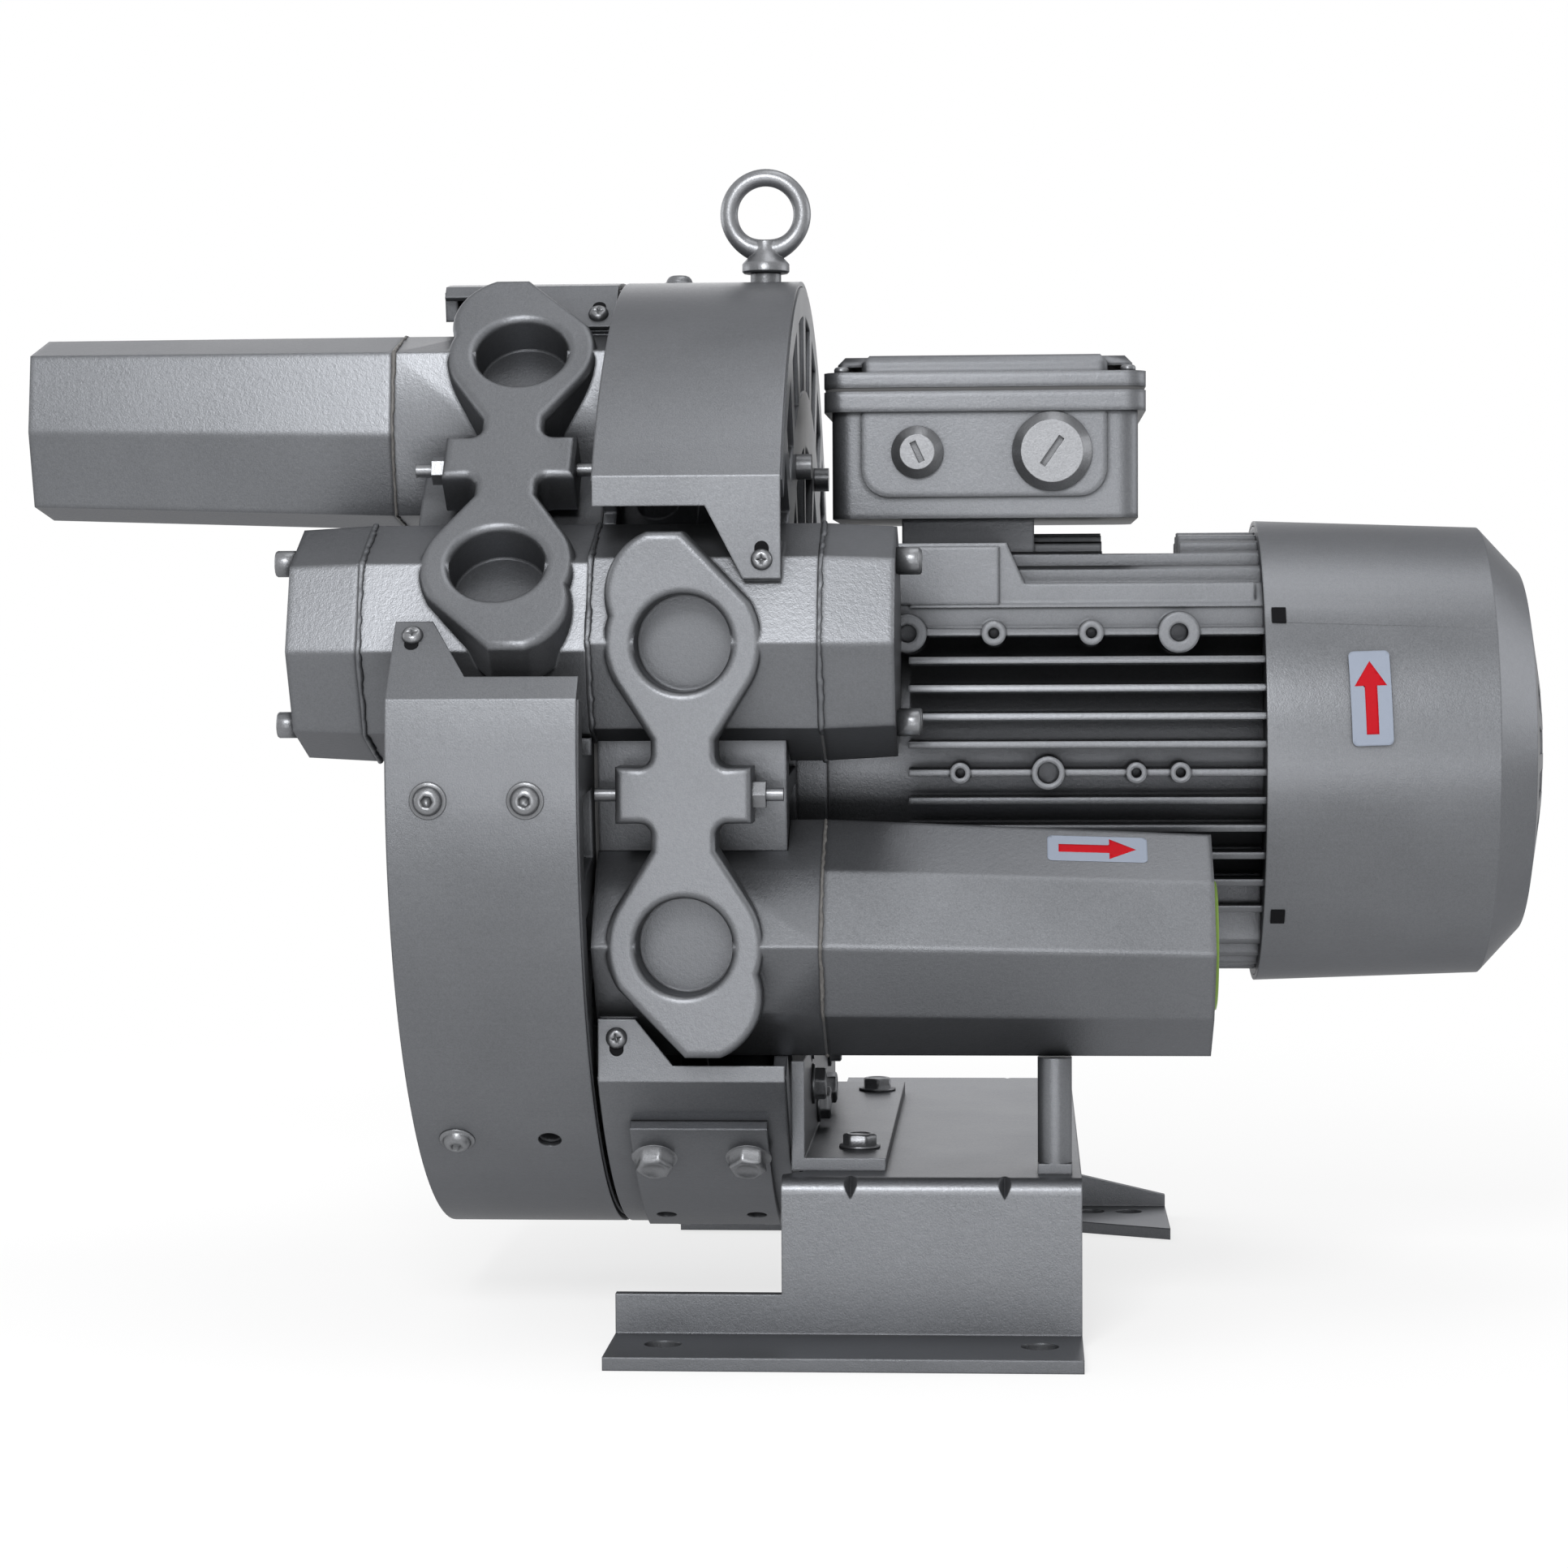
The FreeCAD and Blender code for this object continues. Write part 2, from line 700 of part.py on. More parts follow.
def liner():
    """The sound-absorbing sleeve inside a silencer."""
    x0, x1 = silencer_start_x + 1, silencer_start_x + silencer_length - silencer_end_wall - seat_gap
    outer_r = silencer_end_side_r - silencer_wall - silencer_end_drop - 1.0
    return x_tube(x0, x1, outer_r, outer_r - liner_wall, -duct_front, (duct_lower + silencer_port_z) / 2)


def port_ring():
    x0 = silencer_start_x + silencer_length
    return x_tube(x0, x0 + port_ring_thickness, port_ring_r, port_r + 1, -duct_front, silencer_port_z)


def placed(shape, stage):
    copy = shape.copy()
    if stage == 1:
        copy.rotate(V(0, 0, 0), Y_AXIS, 180)
        copy.rotate(V(0, 0, 0), X_AXIS, -stage_roll_deg)
    copy.translate(V(split_x, 0, shaft_height))
    return copy


def raised(shape):
    copy = shape.copy()
    copy.translate(V(0, 0, shaft_height))
    return copy


def bearing(x0):
    """A closed ball bearing as one ring."""
    return x_tube(x0, x0 + bearing_width, bearing_r, shaft_r + running_gap)


def shaft():
    x0 = split_x - casing_outer_x + 1
    x1 = motor_rear_x + fan_gap + fan_width + 6
    bar = x_cylinder(x0, x1, shaft_r)
    return bar.makeChamfer(1.0, [e for e in bar.Edges if isinstance(e.Curve, Part.Circle)])


def rotor_core():
    return x_tube(stator_start_x, stator_start_x + stator_length, rotor_r, shaft_r)


def cooling_fan():
    x0 = motor_rear_x + fan_gap
    disc = x_cylinder(x0, x0 + 3, fan_r)
    hub = x_cylinder(x0, x0 + fan_width, fan_hub_r)
    blade = slab(x0, x0 + fan_width, -fan_blade / 2, fan_blade / 2, fan_hub_r - 2, fan_r)
    blade = blade.common(x_cylinder(x0, x0 + fan_width, fan_r))
    blades = [turned(blade, 360.0 / fan_blade_count * k) for k in range(fan_blade_count)]
    return fused([disc, hub] + blades).cut(x_cylinder(x0 - 1, x0 + fan_width + 1, shaft_r))


# The motor
def motor_fins():
    fins = []
    x0, x1 = fin_start_x, motor_rear_x
    half = fin_thickness / 2
    envelope = x_cylinder(x0, x1, motor_fin_r)
    for row in range(side_fin_rows):
        z = fin_pitch * (row + 0.5)
        for way in (-1, 1):
            bar = slab(x0, x1, -motor_fin_r, motor_fin_r, way * z - half, way * z + half)
            fins.append(bar.common(envelope))
    for row in range(end_fin_rows):
        y = fin_pitch * (row + 0.5)
        for way in (-1, 1):
            bar = slab(x0, x1, way * y - half, way * y + half, -motor_fin_r, motor_fin_r)
            fins.append(bar.common(envelope))
    return fins


def fin_bosses():
    """Small round lugs cast on the fins at both sides, and the holes in them."""
    bosses, holes = [], []
    for z, places in ((upper_boss_z, upper_bosses), (lower_boss_z, lower_bosses)):
        reach = math.sqrt(motor_fin_r ** 2 - z ** 2) + 1
        for x, r, hole_r in places:
            for way in (-1, 1):
                start, inwards = V(x, way * reach, z), V(0, -way, 0)
                bosses.append(Part.makeCylinder(r, reach - motor_core_r + 20, start, inwards))
                holes.append(Part.makeCylinder(hole_r, boss_hole_depth, start, inwards))
    return bosses, holes


def motor_shoulders():
    """Flat cast bands along both upper sides, higher where they meet the stage's flange."""
    steps = [(motor_front_x, band_bottom), (motor_rear_x, band_bottom), (motor_rear_x, band_top),
             (shoulder_bottom_x, band_top), (shoulder_top_x, shoulder_top), (motor_front_x, shoulder_top)]
    outline = [V(x, 0, z) for x, z in steps]
    band = face_of([p - V(0, band_y, 0) for p in outline]).extrude(V(0, 2 * band_y, 0))
    pad_x0, pad_x1 = motor_front_x + 2 * shoulder_pad, shoulder_top_x - 2 * shoulder_pad
    half = band_y + shoulder_pad
    pad = slab(pad_x0, pad_x1, -half, half, band_bottom + 12, shoulder_top - shoulder_pad)
    rear = slab(motor_rear_x - 3, motor_rear_x + 1, -half, half, 0, shoulder_top)
    return band.fuse(pad).cut(rear.cut(x_cylinder(motor_front_x, motor_rear_x + 2, motor_fin_r)))


def motor_frame():
    x0, x1 = motor_front_x, motor_rear_x
    core = x_cylinder(x0, x1, motor_core_r)
    collar = x_cylinder(x1, x1 + collar_length, fan_cover_r - fan_cover_wall - seat_gap)
    flange = x_cylinder(x0, x0 + 12, motor_core_r + 6)
    neck = slab(neck_x, neck_x + neck_length, -neck_width / 2, neck_width / 2, motor_core_r - 8, box_floor)
    bosses, boss_bores = fin_bosses()
    body = fused([core, collar, flange, neck, motor_shoulders()] + motor_fins() + bosses)
    body = body.fuse(snaps(0.0, fan_cover_r - 0.8))
    reach = neck_width / 2 - neck_wall
    pass_hole = slab(neck_x + neck_wall, neck_x + neck_length - neck_wall, -reach, reach,
                     0, box_floor + 1)
    earth = slab(*earth_gap_x, -band_y, band_y, motor_fin_r - earth_gap, motor_fin_r + 1)
    bore = x_cylinder(x0 - 1, x1 + collar_length + 1, motor_bore_r)
    return body.cut([bore, pass_hole, earth] + boss_bores)


def stator_core():
    x0 = stator_start_x
    return x_tube(x0, x0 + stator_length, motor_bore_r - running_gap, rotor_r + air_gap)


def windings():
    outer = motor_bore_r - 5
    ends = [stator_start_x - winding_length, stator_start_x + stator_length]
    return [x_tube(x, x + winding_length, outer, outer - winding_wall) for x in ends]


def endshield():
    x0 = motor_rear_x + collar_length - endshield_thickness
    disc = x_cylinder(x0, x0 + endshield_thickness, motor_bore_r - running_gap)
    hub = x_cylinder(x0 - bearing_width + endshield_thickness - 3, x0, bearing_r + 5)
    seat_x = x0 + endshield_thickness - bearing_width - 3
    seat = x_cylinder(seat_x - 1, seat_x + bearing_width, bearing_r + running_gap)
    return fused([disc, hub]).cut([seat, x_cylinder(seat_x - 2, x0 + 20, shaft_r + seat_gap)])


def rear_bearing_x():
    return motor_rear_x + collar_length - bearing_width - 3


def fan_cover():
    """A cup with a sloping shoulder and slots in its end."""
    x0 = motor_rear_x
    x_cone = x0 + fan_cover_straight
    x_end = x_cone + fan_cover_cone
    x_tip = fan_cover_rear_x
    w = fan_cover_wall
    outside = [V(x0, 0, 0), V(x0, 0, fan_cover_r), V(x_cone, 0, fan_cover_r), V(x_end, 0, fan_cover_end_r),
               V(x_tip, 0, 0.55 * fan_cover_end_r), V(x_tip, 0, 0)]
    inside = [V(x0 - 1, 0, 0), V(x0 - 1, 0, fan_cover_r - w), V(x_cone, 0, fan_cover_r - w),
              V(x_end - 0.6 * w, 0, fan_cover_end_r - w), V(x_tip - w, 0, 0.55 * fan_cover_end_r - w),
              V(x_tip - w, 0, 0)]
    shell = face_of(outside).revolve(V(0, 0, 0), X_AXIS, 360)
    shell = shell.cut(face_of(inside).revolve(V(0, 0, 0), X_AXIS, 360))
    return shell.cut(Part.makeCompound(cover_slots() + snaps(running_gap, fan_cover_r + 1)))


def snaps(grow, outer):
    """Blocks where the cover snaps over the motor's collar."""
    x0 = motor_rear_x + 3 - grow
    x1 = motor_rear_x + 3 + snap_length + grow
    widen = math.degrees(grow / fan_cover_r)
    blocks = []
    for angle in snap_angles:
        block = sector(x0, x1, outer, angle - snap_width_deg / 2 - widen, angle + snap_width_deg / 2 + widen)
        blocks.append(block.cut(x_cylinder(x0 - 1, x1 + 1, fan_cover_r - fan_cover_wall - 1)))
    return blocks


def cover_slots():
    slots = []
    ring = (fan_cover_end_r - 8) / (fan_cover_slot_rings + 0.6)
    for n in range(fan_cover_slot_rings):
        inner = ring * (n + 0.6)
        count = fan_cover_slot_count - 4 * (fan_cover_slot_rings - 1 - n)
        step = 360.0 / count
        slot = sector(fan_cover_rear_x - 12, fan_cover_rear_x + 1, inner + 0.72 * ring, 0, 0.6 * step)
        slot = slot.cut(x_cylinder(fan_cover_rear_x - 13, fan_cover_rear_x + 2, inner))
        slots += [turned(slot, step * k) for k in range(count)]
    return slots


# The terminal box
def rounded_block(x0, x1, y0, y1, z0, z1, r):
    block = slab(x0, x1, y0, y1, z0, z1)
    upright = [e for e in block.Edges if abs(e.Vertexes[0].Z - e.Vertexes[-1].Z) > (z1 - z0) / 2]
    return block.makeFillet(r, upright)


def box_sides(grow=0.0):
    half = box_depth / 2
    return box_x - grow, box_x + box_length + grow, -half - grow, half + grow


def plug_places():
    z = box_floor + plug_height
    y = -box_depth / 2 - box_panel_rise
    return [(box_x + small_plug_x, y, z, small_plug_r), (box_x + large_plug_x, y, z, large_plug_r)]


def terminal_box():
    z0, z1 = box_floor, box_floor + box_height
    body = rounded_block(*box_sides(), z0, z1, box_corner_r)
    flange = rounded_block(*box_sides(box_flange), z1 - box_flange_height, z1, box_corner_r)
    room = rounded_block(*box_sides(-box_wall), z0 + box_wall, z1 + 1, box_corner_r - box_wall)
    bores = [Part.makeCylinder(plug_shank_share * r + running_gap, box_wall + 4, V(x, y - 2, z), Y_AXIS)
             for x, y, z, r in plug_places()]
    reach = neck_width / 2 - neck_wall
    floor_hole = slab(neck_x + neck_wall, neck_x + neck_length - neck_wall, -reach, reach, z0 - 1, z0 + 9)
    return fused([body, flange, box_panels()]).cut([room, floor_hole] + bores + lid_screw_holes())


def box_panels():
    """Slightly raised fields on the front and the back, round at their lower corners."""
    half = box_depth / 2 + box_panel_rise
    x0, x1 = box_panel_x, box_panel_x + box_panel_length
    z0, z1 = box_floor + box_panel_floor, box_floor + box_height - box_flange_height / 2
    field = slab(x0, x1, -half, half, z0, z1)
    floor_edges = [e for e in field.Edges if all(abs(v.Z - z0) < 1e-6 for v in e.Vertexes)]
    low = [e for e in floor_edges if abs(e.Vertexes[0].Y - e.Vertexes[-1].Y) > 1]
    return field.makeFillet(box_panel_corner, low)


def box_seal():
    z0 = box_floor + box_height
    outer = rounded_block(*box_sides(box_flange - 0.5), z0, z0 + box_gasket, box_corner_r)
    inner = rounded_block(*box_sides(-box_wall), z0 - 1, z0 + box_gasket + 1, box_corner_r - box_wall)
    return outer.cut([inner] + lid_screw_holes())


def terminal_lid():
    z0 = box_floor + box_height + box_gasket
    skirt = rounded_block(*box_sides(box_flange), z0, z0 + lid_step, box_corner_r)
    x0, x1, y0, y1 = box_sides(-2)
    fields = [rounded_block(x0 + lid_ear, x1 - lid_ear, y0, y1, z0, z0 + lid_height, lid_edge),
              rounded_block(x0, x1, y0 + lid_ear, y1 - lid_ear, z0, z0 + lid_height, lid_edge)]
    top = fused(fields)
    edges = [e for e in top.Edges if all(abs(v.Z - z0 - lid_height) < 1e-6 for v in e.Vertexes)]
    top = top.makeChamfer(lid_edge, edges)
    ceiling = z0 + lid_height - box_wall
    room = rounded_block(*box_sides(-box_wall - 2), z0 - 1, ceiling, box_corner_r - box_wall)
    return fused([skirt, top]).cut([room] + lid_screw_holes())


def lid_screw_places():
    x0, x1, y0, y1 = box_sides(0.5 * box_flange)
    inset = lid_screw_inset
    return [(x, y) for x in (x0 + inset, x1 - inset) for y in (y0 + inset, y1 - inset)]


def lid_screw_holes():
    z0 = box_floor + box_height
    r = lid_screw_r + running_gap
    bottom = z0 - box_flange_height + 2
    return [Part.makeCylinder(r, box_flange_height + lid_step, V(x, y, bottom), Z_AXIS)
            for x, y in lid_screw_places()]


def terminal_block():
    z0 = box_floor + box_wall
    mid_x = box_x + box_length / 2 + 28
    base = slab(mid_x - 20, mid_x + 20, -38, 38, z0, z0 + 14)
    places = [V(mid_x + 9 * side, 24 * k, z0 + 14) for side in (-1, 1) for k in (-1, 0, 1)]
    studs = [Part.makeCylinder(2.5, 12, place, Z_AXIS) for place in places]
    return fused([base] + studs)


def blind_plug(x, y, z, r):
    head = Part.makeCylinder(r, plug_head, V(x, y - plug_head, z), Y_AXIS)
    rim = [e for e in head.Edges if all(abs(v.Y - y + plug_head) < 1e-6 for v in e.Vertexes)]
    head = head.makeChamfer(0.7 * plug_head, rim)
    shank = Part.makeCylinder(plug_shank_share * r, box_wall + 3, V(x, y, z), Y_AXIS)
    slot = slab(x - 1.2, x + 1.2, y - plug_head - 1, y - plug_head + 2.5, z - 0.42 * r, z + 0.42 * r)
    slot.rotate(V(x, y, z), Y_AXIS, 35 if r > 12 else -25)
    return head.fuse(shank).removeSplitter().cut(slot)


# The foot
def foot_frame():
    """A table with two legs, its front flange turned out and its rear flange turned in."""
    t = foot_sheet
    front, rear = foot_front_y, foot_rear_y
    z1 = foot_table
    edge = -foot_bolt_y / 2 - foot_front_flange
    slant = foot_table_left_x - foot_leg_left_x
    table = face_of([V(foot_leg_left_x, front, z1), V(foot_right_x, front, z1), V(foot_right_x, rear, z1),
                     V(foot_table_left_x, rear, z1), V(foot_table_left_x, front + 2 * slant, z1),
                     V(foot_leg_left_x, front + slant, z1)]).extrude(V(0, 0, -t))
    front_leg = slab(foot_leg_left_x, foot_right_x, front, front + t, 0, z1)
    front_lip = slab(foot_left_x, foot_right_x, front, front + t, 0, foot_lip)
    front_flange = slab(foot_left_x, foot_right_x, edge, front + t, 0, t)
    rear_leg = slab(foot_table_left_x, foot_right_x, rear - t, rear, 0, z1)
    rear_lip = face_of([V(foot_left_x, rear, 0), V(foot_rear_right_x, rear, 0),
                        V(foot_rear_right_x, rear, 0.5 * foot_lip), V(foot_right_x, rear, foot_lip),
                        V(foot_left_x, rear, foot_lip)]).extrude(V(0, -t, 0))
    near = rear - foot_rear_flange
    rear_flange = face_of([V(foot_left_x, rear, 0), V(foot_rear_right_x, rear, 0),
                           V(foot_rear_right_x, near - 20, 0), V(foot_right_x, near, 0),
                           V(foot_left_x, near, 0)]).extrude(V(0, 0, t))
    body = fused([table, front_leg, front_lip, front_flange, rear_leg, rear_lip, rear_flange])
    rounded = [e for e in body.Edges if foot_bend(e)]
    body = body.makeFillet(t + 1.0, rounded).cut(foot_dents())
    half_x, half_y = foot_bolt_x / 2, foot_bolt_y / 2
    holes = [(x, y) for x in (-half_x, half_x) for y in (-half_y, half_y)]
    holes += [(x, foot_bolt_y / 2) for x in foot_rear_slots]
    cuts = [Part.makeCylinder(foot_hole_r if k < 4 else foot_hole_r - 1, t + 2, V(x, y, -1), Z_AXIS)
            for k, (x, y) in enumerate(holes)]
    cuts += [Part.makeCylinder(foot_screw_r + running_gap, t + 2, V(x, y, z1 - t - 1), Z_AXIS)
             for x, y in cradle_screw_places()]
    return body.cut(cuts)


def foot_dents():
    """Notches pressed into the bends, which stiffen them."""
    dents = []
    for corner_y, way in ((foot_front_y, 1), (foot_rear_y, -1)):
        for x in foot_dent_x:
            low = V(x, corner_y, foot_table - foot_dent_length)
            back = V(x, corner_y + way * foot_dent_length, foot_table)
            left = V(x - foot_dent_width / 2, corner_y - way, foot_table + 1)
            right = V(x + foot_dent_width / 2, corner_y - way, foot_table + 1)
            sides = [(low, back, left), (low, right, back), (low, left, right), (back, right, left)]
            dents.append(Part.Solid(Part.Shell([face_of(list(side)) for side in sides])))
    return dents


def foot_bend(edge):
    """The outer edges of the two bends at the top of the legs."""
    ends = [v.Point for v in edge.Vertexes]
    flat = all(abs(p.z - foot_table) < 1e-6 for p in ends)
    front = all(abs(p.y - foot_front_y) < 1e-6 for p in ends)
    rear = all(abs(p.y - foot_rear_y) < 1e-6 for p in ends)
    return flat and (front or rear)


def cradle_screw_places():
    x = motor_front_x + cradle_sheet + 0.55 * cradle_flange
    return [(x, 0.75 * way * cradle_half_width) for way in (-1, 1)]


def cradle_rim_places():
    r = (casing_r + rim_hole_inner_r) / 2
    return [(r * math.cos(math.radians(a)), r * math.sin(math.radians(a))) for a in cradle_bolt_degs]


def cradle():
    """An angle that is bolted to the motor side of the second stage and stands on the table."""
    x0 = motor_front_x
    floor = foot_table - shaft_height
    web = slab(x0, x0 + cradle_sheet, -cradle_half_width, cradle_half_width, floor, floor + cradle_top)
    flange = slab(x0, x0 + cradle_flange, -cradle_half_width, cradle_half_width, floor, floor + cradle_sheet)
    body = fused([web, flange])
    cuts = [x_cylinder(x0 - 1, x0 + cradle_flange + 1, tie_bolt_circle_r - tie_bolt_head_r - 3)]
    cuts += [x_cylinder(x0 - 1, x0 + 9, tie_bolt_head_r + 1.5, y, z) for y, z in tie_bolt_places()]
    cuts += [x_cylinder(x0 - 1, x0 + 9, foot_screw_r + running_gap, y, z) for y, z in cradle_rim_places()]
    cuts += [Part.makeCylinder(foot_screw_r + running_gap, 20, V(x, y, floor - 5), Z_AXIS)
             for x, y in cradle_screw_places()]
    return raised(body.cut(cuts))


def cradle_bolts():
    x0 = motor_front_x + cradle_sheet
    floor = foot_table
    bolts = []
    for y, z in cradle_rim_places():
        head = hex_head(x0, x0 + foot_screw_head, foot_screw_head_r, y, z)
        shank = x_cylinder(motor_front_x - 2.5, x0, foot_screw_r, y, z)
        bolts.append(raised(head.fuse(shank).removeSplitter()))
    for x, y in cradle_screw_places():
        top = floor + cradle_sheet
        head = turned(hex_head(0, foot_screw_head, foot_screw_head_r, 0, 0), -90, Y_AXIS)
        head.translate(V(x, y, top))
        bottom = floor - foot_sheet
        shank = Part.makeCylinder(foot_screw_r, top - bottom, V(x, y, bottom), Z_AXIS)
        bolts.append(head.fuse(shank).removeSplitter())
    return bolts


def bracket():
    """A rolled plate bolted over the hood's lower front."""
    x_mid = (boss_inner_x + boss_outer_x) / 2
    x0, x1 = x_mid - bracket_half_width, x_mid + bracket_half_width
    inner = hood_r + seat_gap
    plate = x_tube(x0, x1, inner + bracket_sheet, inner)
    plate = plate.common(sector(x0 - 1, x1 + 1, inner + 20, -bracket_to_deg, -bracket_from_deg))
    holes = [radial_cylinder(x, bracket_boss_deg, inner - 3, inner + 9, hood_screw_r + 0.5)
             for x in (boss_inner_x, boss_outer_x)]
    holes += [radial_cylinder(x, 5 - bracket_to_deg, inner - 3, inner + 9, hood_screw_r + 1)
              for x in (boss_inner_x, boss_outer_x)]
    return plate.cut(holes)


def bracket_bolt(x):
    base = hood_r + seat_gap + bracket_sheet
    turns = [math.radians(60 * k) for k in range(6)]
    corners = [V(x + bracket_bolt_r * math.cos(a), -base, bracket_bolt_r * math.sin(a)) for a in turns]
    head = face_of(corners).extrude(V(0, -bracket_bolt_head, 0))
    washer = Part.makeCylinder(9, 1.5, V(x, -base - 1.5, 0), Y_AXIS)
    shank = Part.makeCylinder(hood_screw_r, eye_shank, V(x, -base, 0), Y_AXIS)
    return turned(fused([head, washer, shank]), -bracket_boss_deg)


def silencer_post():
    x, y, z = silencer_post_x, -duct_front, foot_table
    top = shaft_height + duct_lower - duct_point_r - seat_gap
    post = Part.makeCylinder(silencer_post_r, top - z, V(x, y, z), Z_AXIS)
    base = slab(x - silencer_post_r, x + silencer_post_r, y - silencer_post_r, y + silencer_post_r,
                z, z + silencer_post_foot)
    return fused([post, base])


def eyebolt():
    x = boss_outer_x
    base = hood_r + seat_gap
    centre = base + eye_collar + eye_ring_r
    shank = Part.makeCylinder(eye_shank_r, eye_shank, V(x, 0, base - eye_shank), Z_AXIS)
    collar = Part.makeCone(eye_collar_r, 0.8 * eye_collar_r, eye_collar, V(x, 0, base), Z_AXIS)
    turns = [math.radians(36 * k) for k in range(10)]
    corners = [V(x + eye_ring_r + eye_wire_r * math.cos(a), eye_wire_r * math.sin(a), centre) for a in turns]
    ring = face_of(corners).revolve(V(x, 0, centre), Y_AXIS, 360)
    return fused([shank, collar, ring])


def save(name, shapes):
    solids = shapes if isinstance(shapes, list) else [shapes]
    shape = Part.makeCompound([s for one in solids for s in one.Solids])
    shape.exportStep("parts/" + name + ".step")


def lid_screws():
    z = box_floor + box_height + box_gasket + lid_step
    screws = []
    for x, y in lid_screw_places():
        shank = Part.makeCylinder(lid_screw_r, lid_step + 6, V(x, y, z - lid_step - 6), Z_AXIS)
        head = Part.makeCylinder(lid_screw_head_r, 2.5, V(x, y, z), Z_AXIS)
        screws.append(shank.fuse(head).removeSplitter())
    return screws


def middle_gasket():
    """Seals the duct where the two stages meet."""
    ring = duct_gasket(-gasket / 2, duct_upper, cross_duct_side_r)
    return ring.cut(x_cylinder(-9, 9, casing_r + seat_gap))


def hood_screw_places(stage):
    """Where round-headed screws hold each hood: one hole of the first hood is left empty."""
    if stage == 1:
        angles = (45, 90, 180, 270)
        empty = [(boss_inner_x, 90)]
    else:
        angles = (90, 180, 270)
        empty = [(boss_outer_x, 90)]
    places = [(x, a) for a in angles for x in (boss_inner_x, boss_outer_x)]
    return [p for p in places if p not in empty]


def stage_nodes(stage):
    name = "stage_%d_" % stage
    role = {1: "inlet", 2: "outlet"}[stage]
    hood_angles = {1: (45, 90, 180, 270), 2: (90, 180, 270, bracket_boss_deg)}[stage]
    return {
        name + "outer_casing": casing_half(True),
        name + "inner_casing": casing_half(False),
        name + "impeller": impeller(),
        name + "manifold": manifold(stage),
        name + "hood": hood(hood_angles),
        name + "duct_cap": duct_cap(stage),
        role + "_silencer": silencer(),
        role + "_liner": liner(),
        "bearing_%d" % stage: bearing(casing_outer_x - bearing_width),
    }


def both_stages(make):
    return [placed(shape, stage) for stage in (1, 2) for shape in make(stage)]


def cap_gasket(stage):
    return duct_gasket(duct_end, duct_upper, cross_duct_side_r, cap_bolt_holes(stage))


def shared_nodes():
    seal_x = casing_outer_x - bearing_width - seal_width
    seal = x_tube(seal_x, seal_x + seal_width, seal_r, shaft_r + running_gap)
    return {
        "tie_bolts": both_stages(lambda stage: tie_bolts()),
        "cap_bolts": both_stages(cap_bolts),
        "hood_screws": both_stages(lambda stage: [hood_screw(x, a) for x, a in hood_screw_places(stage)]),
        "tab_screws": both_stages(lambda stage: tab_screws()),
        "lug_studs": both_stages(lambda stage: [lug_stud()]),
        "lug_nuts": both_stages(lambda stage: [lug_nut_ring()]),
        "cap_gaskets": both_stages(lambda stage: [cap_gasket(stage)]),
        "silencer_gaskets": both_stages(lambda stage: [duct_gasket(duct_end, duct_lower, duct_side_r)]),
        "middle_gasket": placed(middle_gasket(), 2),
        "stage_gasket": placed(x_tube(-casing_inner_x, casing_inner_x, casing_r - 2, casing_r - 22), 2),
        "shaft_seals": both_stages(lambda stage: [seal]),
        "end_bearing_cap": placed(x_cylinder(casing_outer_x, casing_outer_x + bearing_cap, bearing_cap_r), 1),
        "outlet_port_ring": placed(port_ring(), 2),
        "lifting_eye": placed(eyebolt(), 2),
        "front_bracket": placed(bracket(), 2),
        "bracket_bolts": [placed(bracket_bolt(x), 2) for x in (boss_inner_x, boss_outer_x)],
    }


def motor_nodes():
    plugs = [blind_plug(*place) for place in plug_places()]
    shapes = {
        "shaft": shaft(),
        "rotor_core": rotor_core(),
        "cooling_fan": cooling_fan(),
        "rear_bearing": bearing(rear_bearing_x()),
        "motor_frame": motor_frame(),
        "stator_core": stator_core(),
        "windings": Part.makeCompound(windings()),
        "rear_endshield": endshield(),
        "fan_cover": fan_cover(),
        "terminal_box": terminal_box(),
        "terminal_box_seal": box_seal(),
        "terminal_box_lid": terminal_lid(),
        "lid_screws": Part.makeCompound(lid_screws()),
        "terminal_block": terminal_block(),
        "small_blind_plug": plugs[0],
        "large_blind_plug": plugs[1],
    }
    return {name: raised(shape) for name, shape in shapes.items()}


def foot_nodes():
    return {
        "foot_frame": foot_frame(),
        "cradle": cradle(),
        "cradle_bolts": cradle_bolts(),
        "silencer_post": silencer_post(),
    }


def main():
    os.makedirs("parts", exist_ok=True)
    for stage in (1, 2):
        for name, shape in stage_nodes(stage).items():
            save(name, placed(shape, stage))
    for group in (shared_nodes(), motor_nodes(), foot_nodes()):
        for name, shape in group.items():
            save(name, shape)


main()
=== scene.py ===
# %% [markdown]
# # A two-stage side channel blower
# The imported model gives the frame: casings, ducts, hoods, motor, foot and the rotor that
# turns inside. This script dresses it. The whole machine was sprayed in one silver-grey paint
# after it was put together, so the work lies in that paint, in the softened edges of its
# castings, in the beads of paint along its joints and in two small arrow stickers.

import json
import math

import bmesh
import bpy
from mathutils import Matrix, Vector
from mathutils.bvhtree import BVHTree
from mathutils.geometry import convex_hull_2d


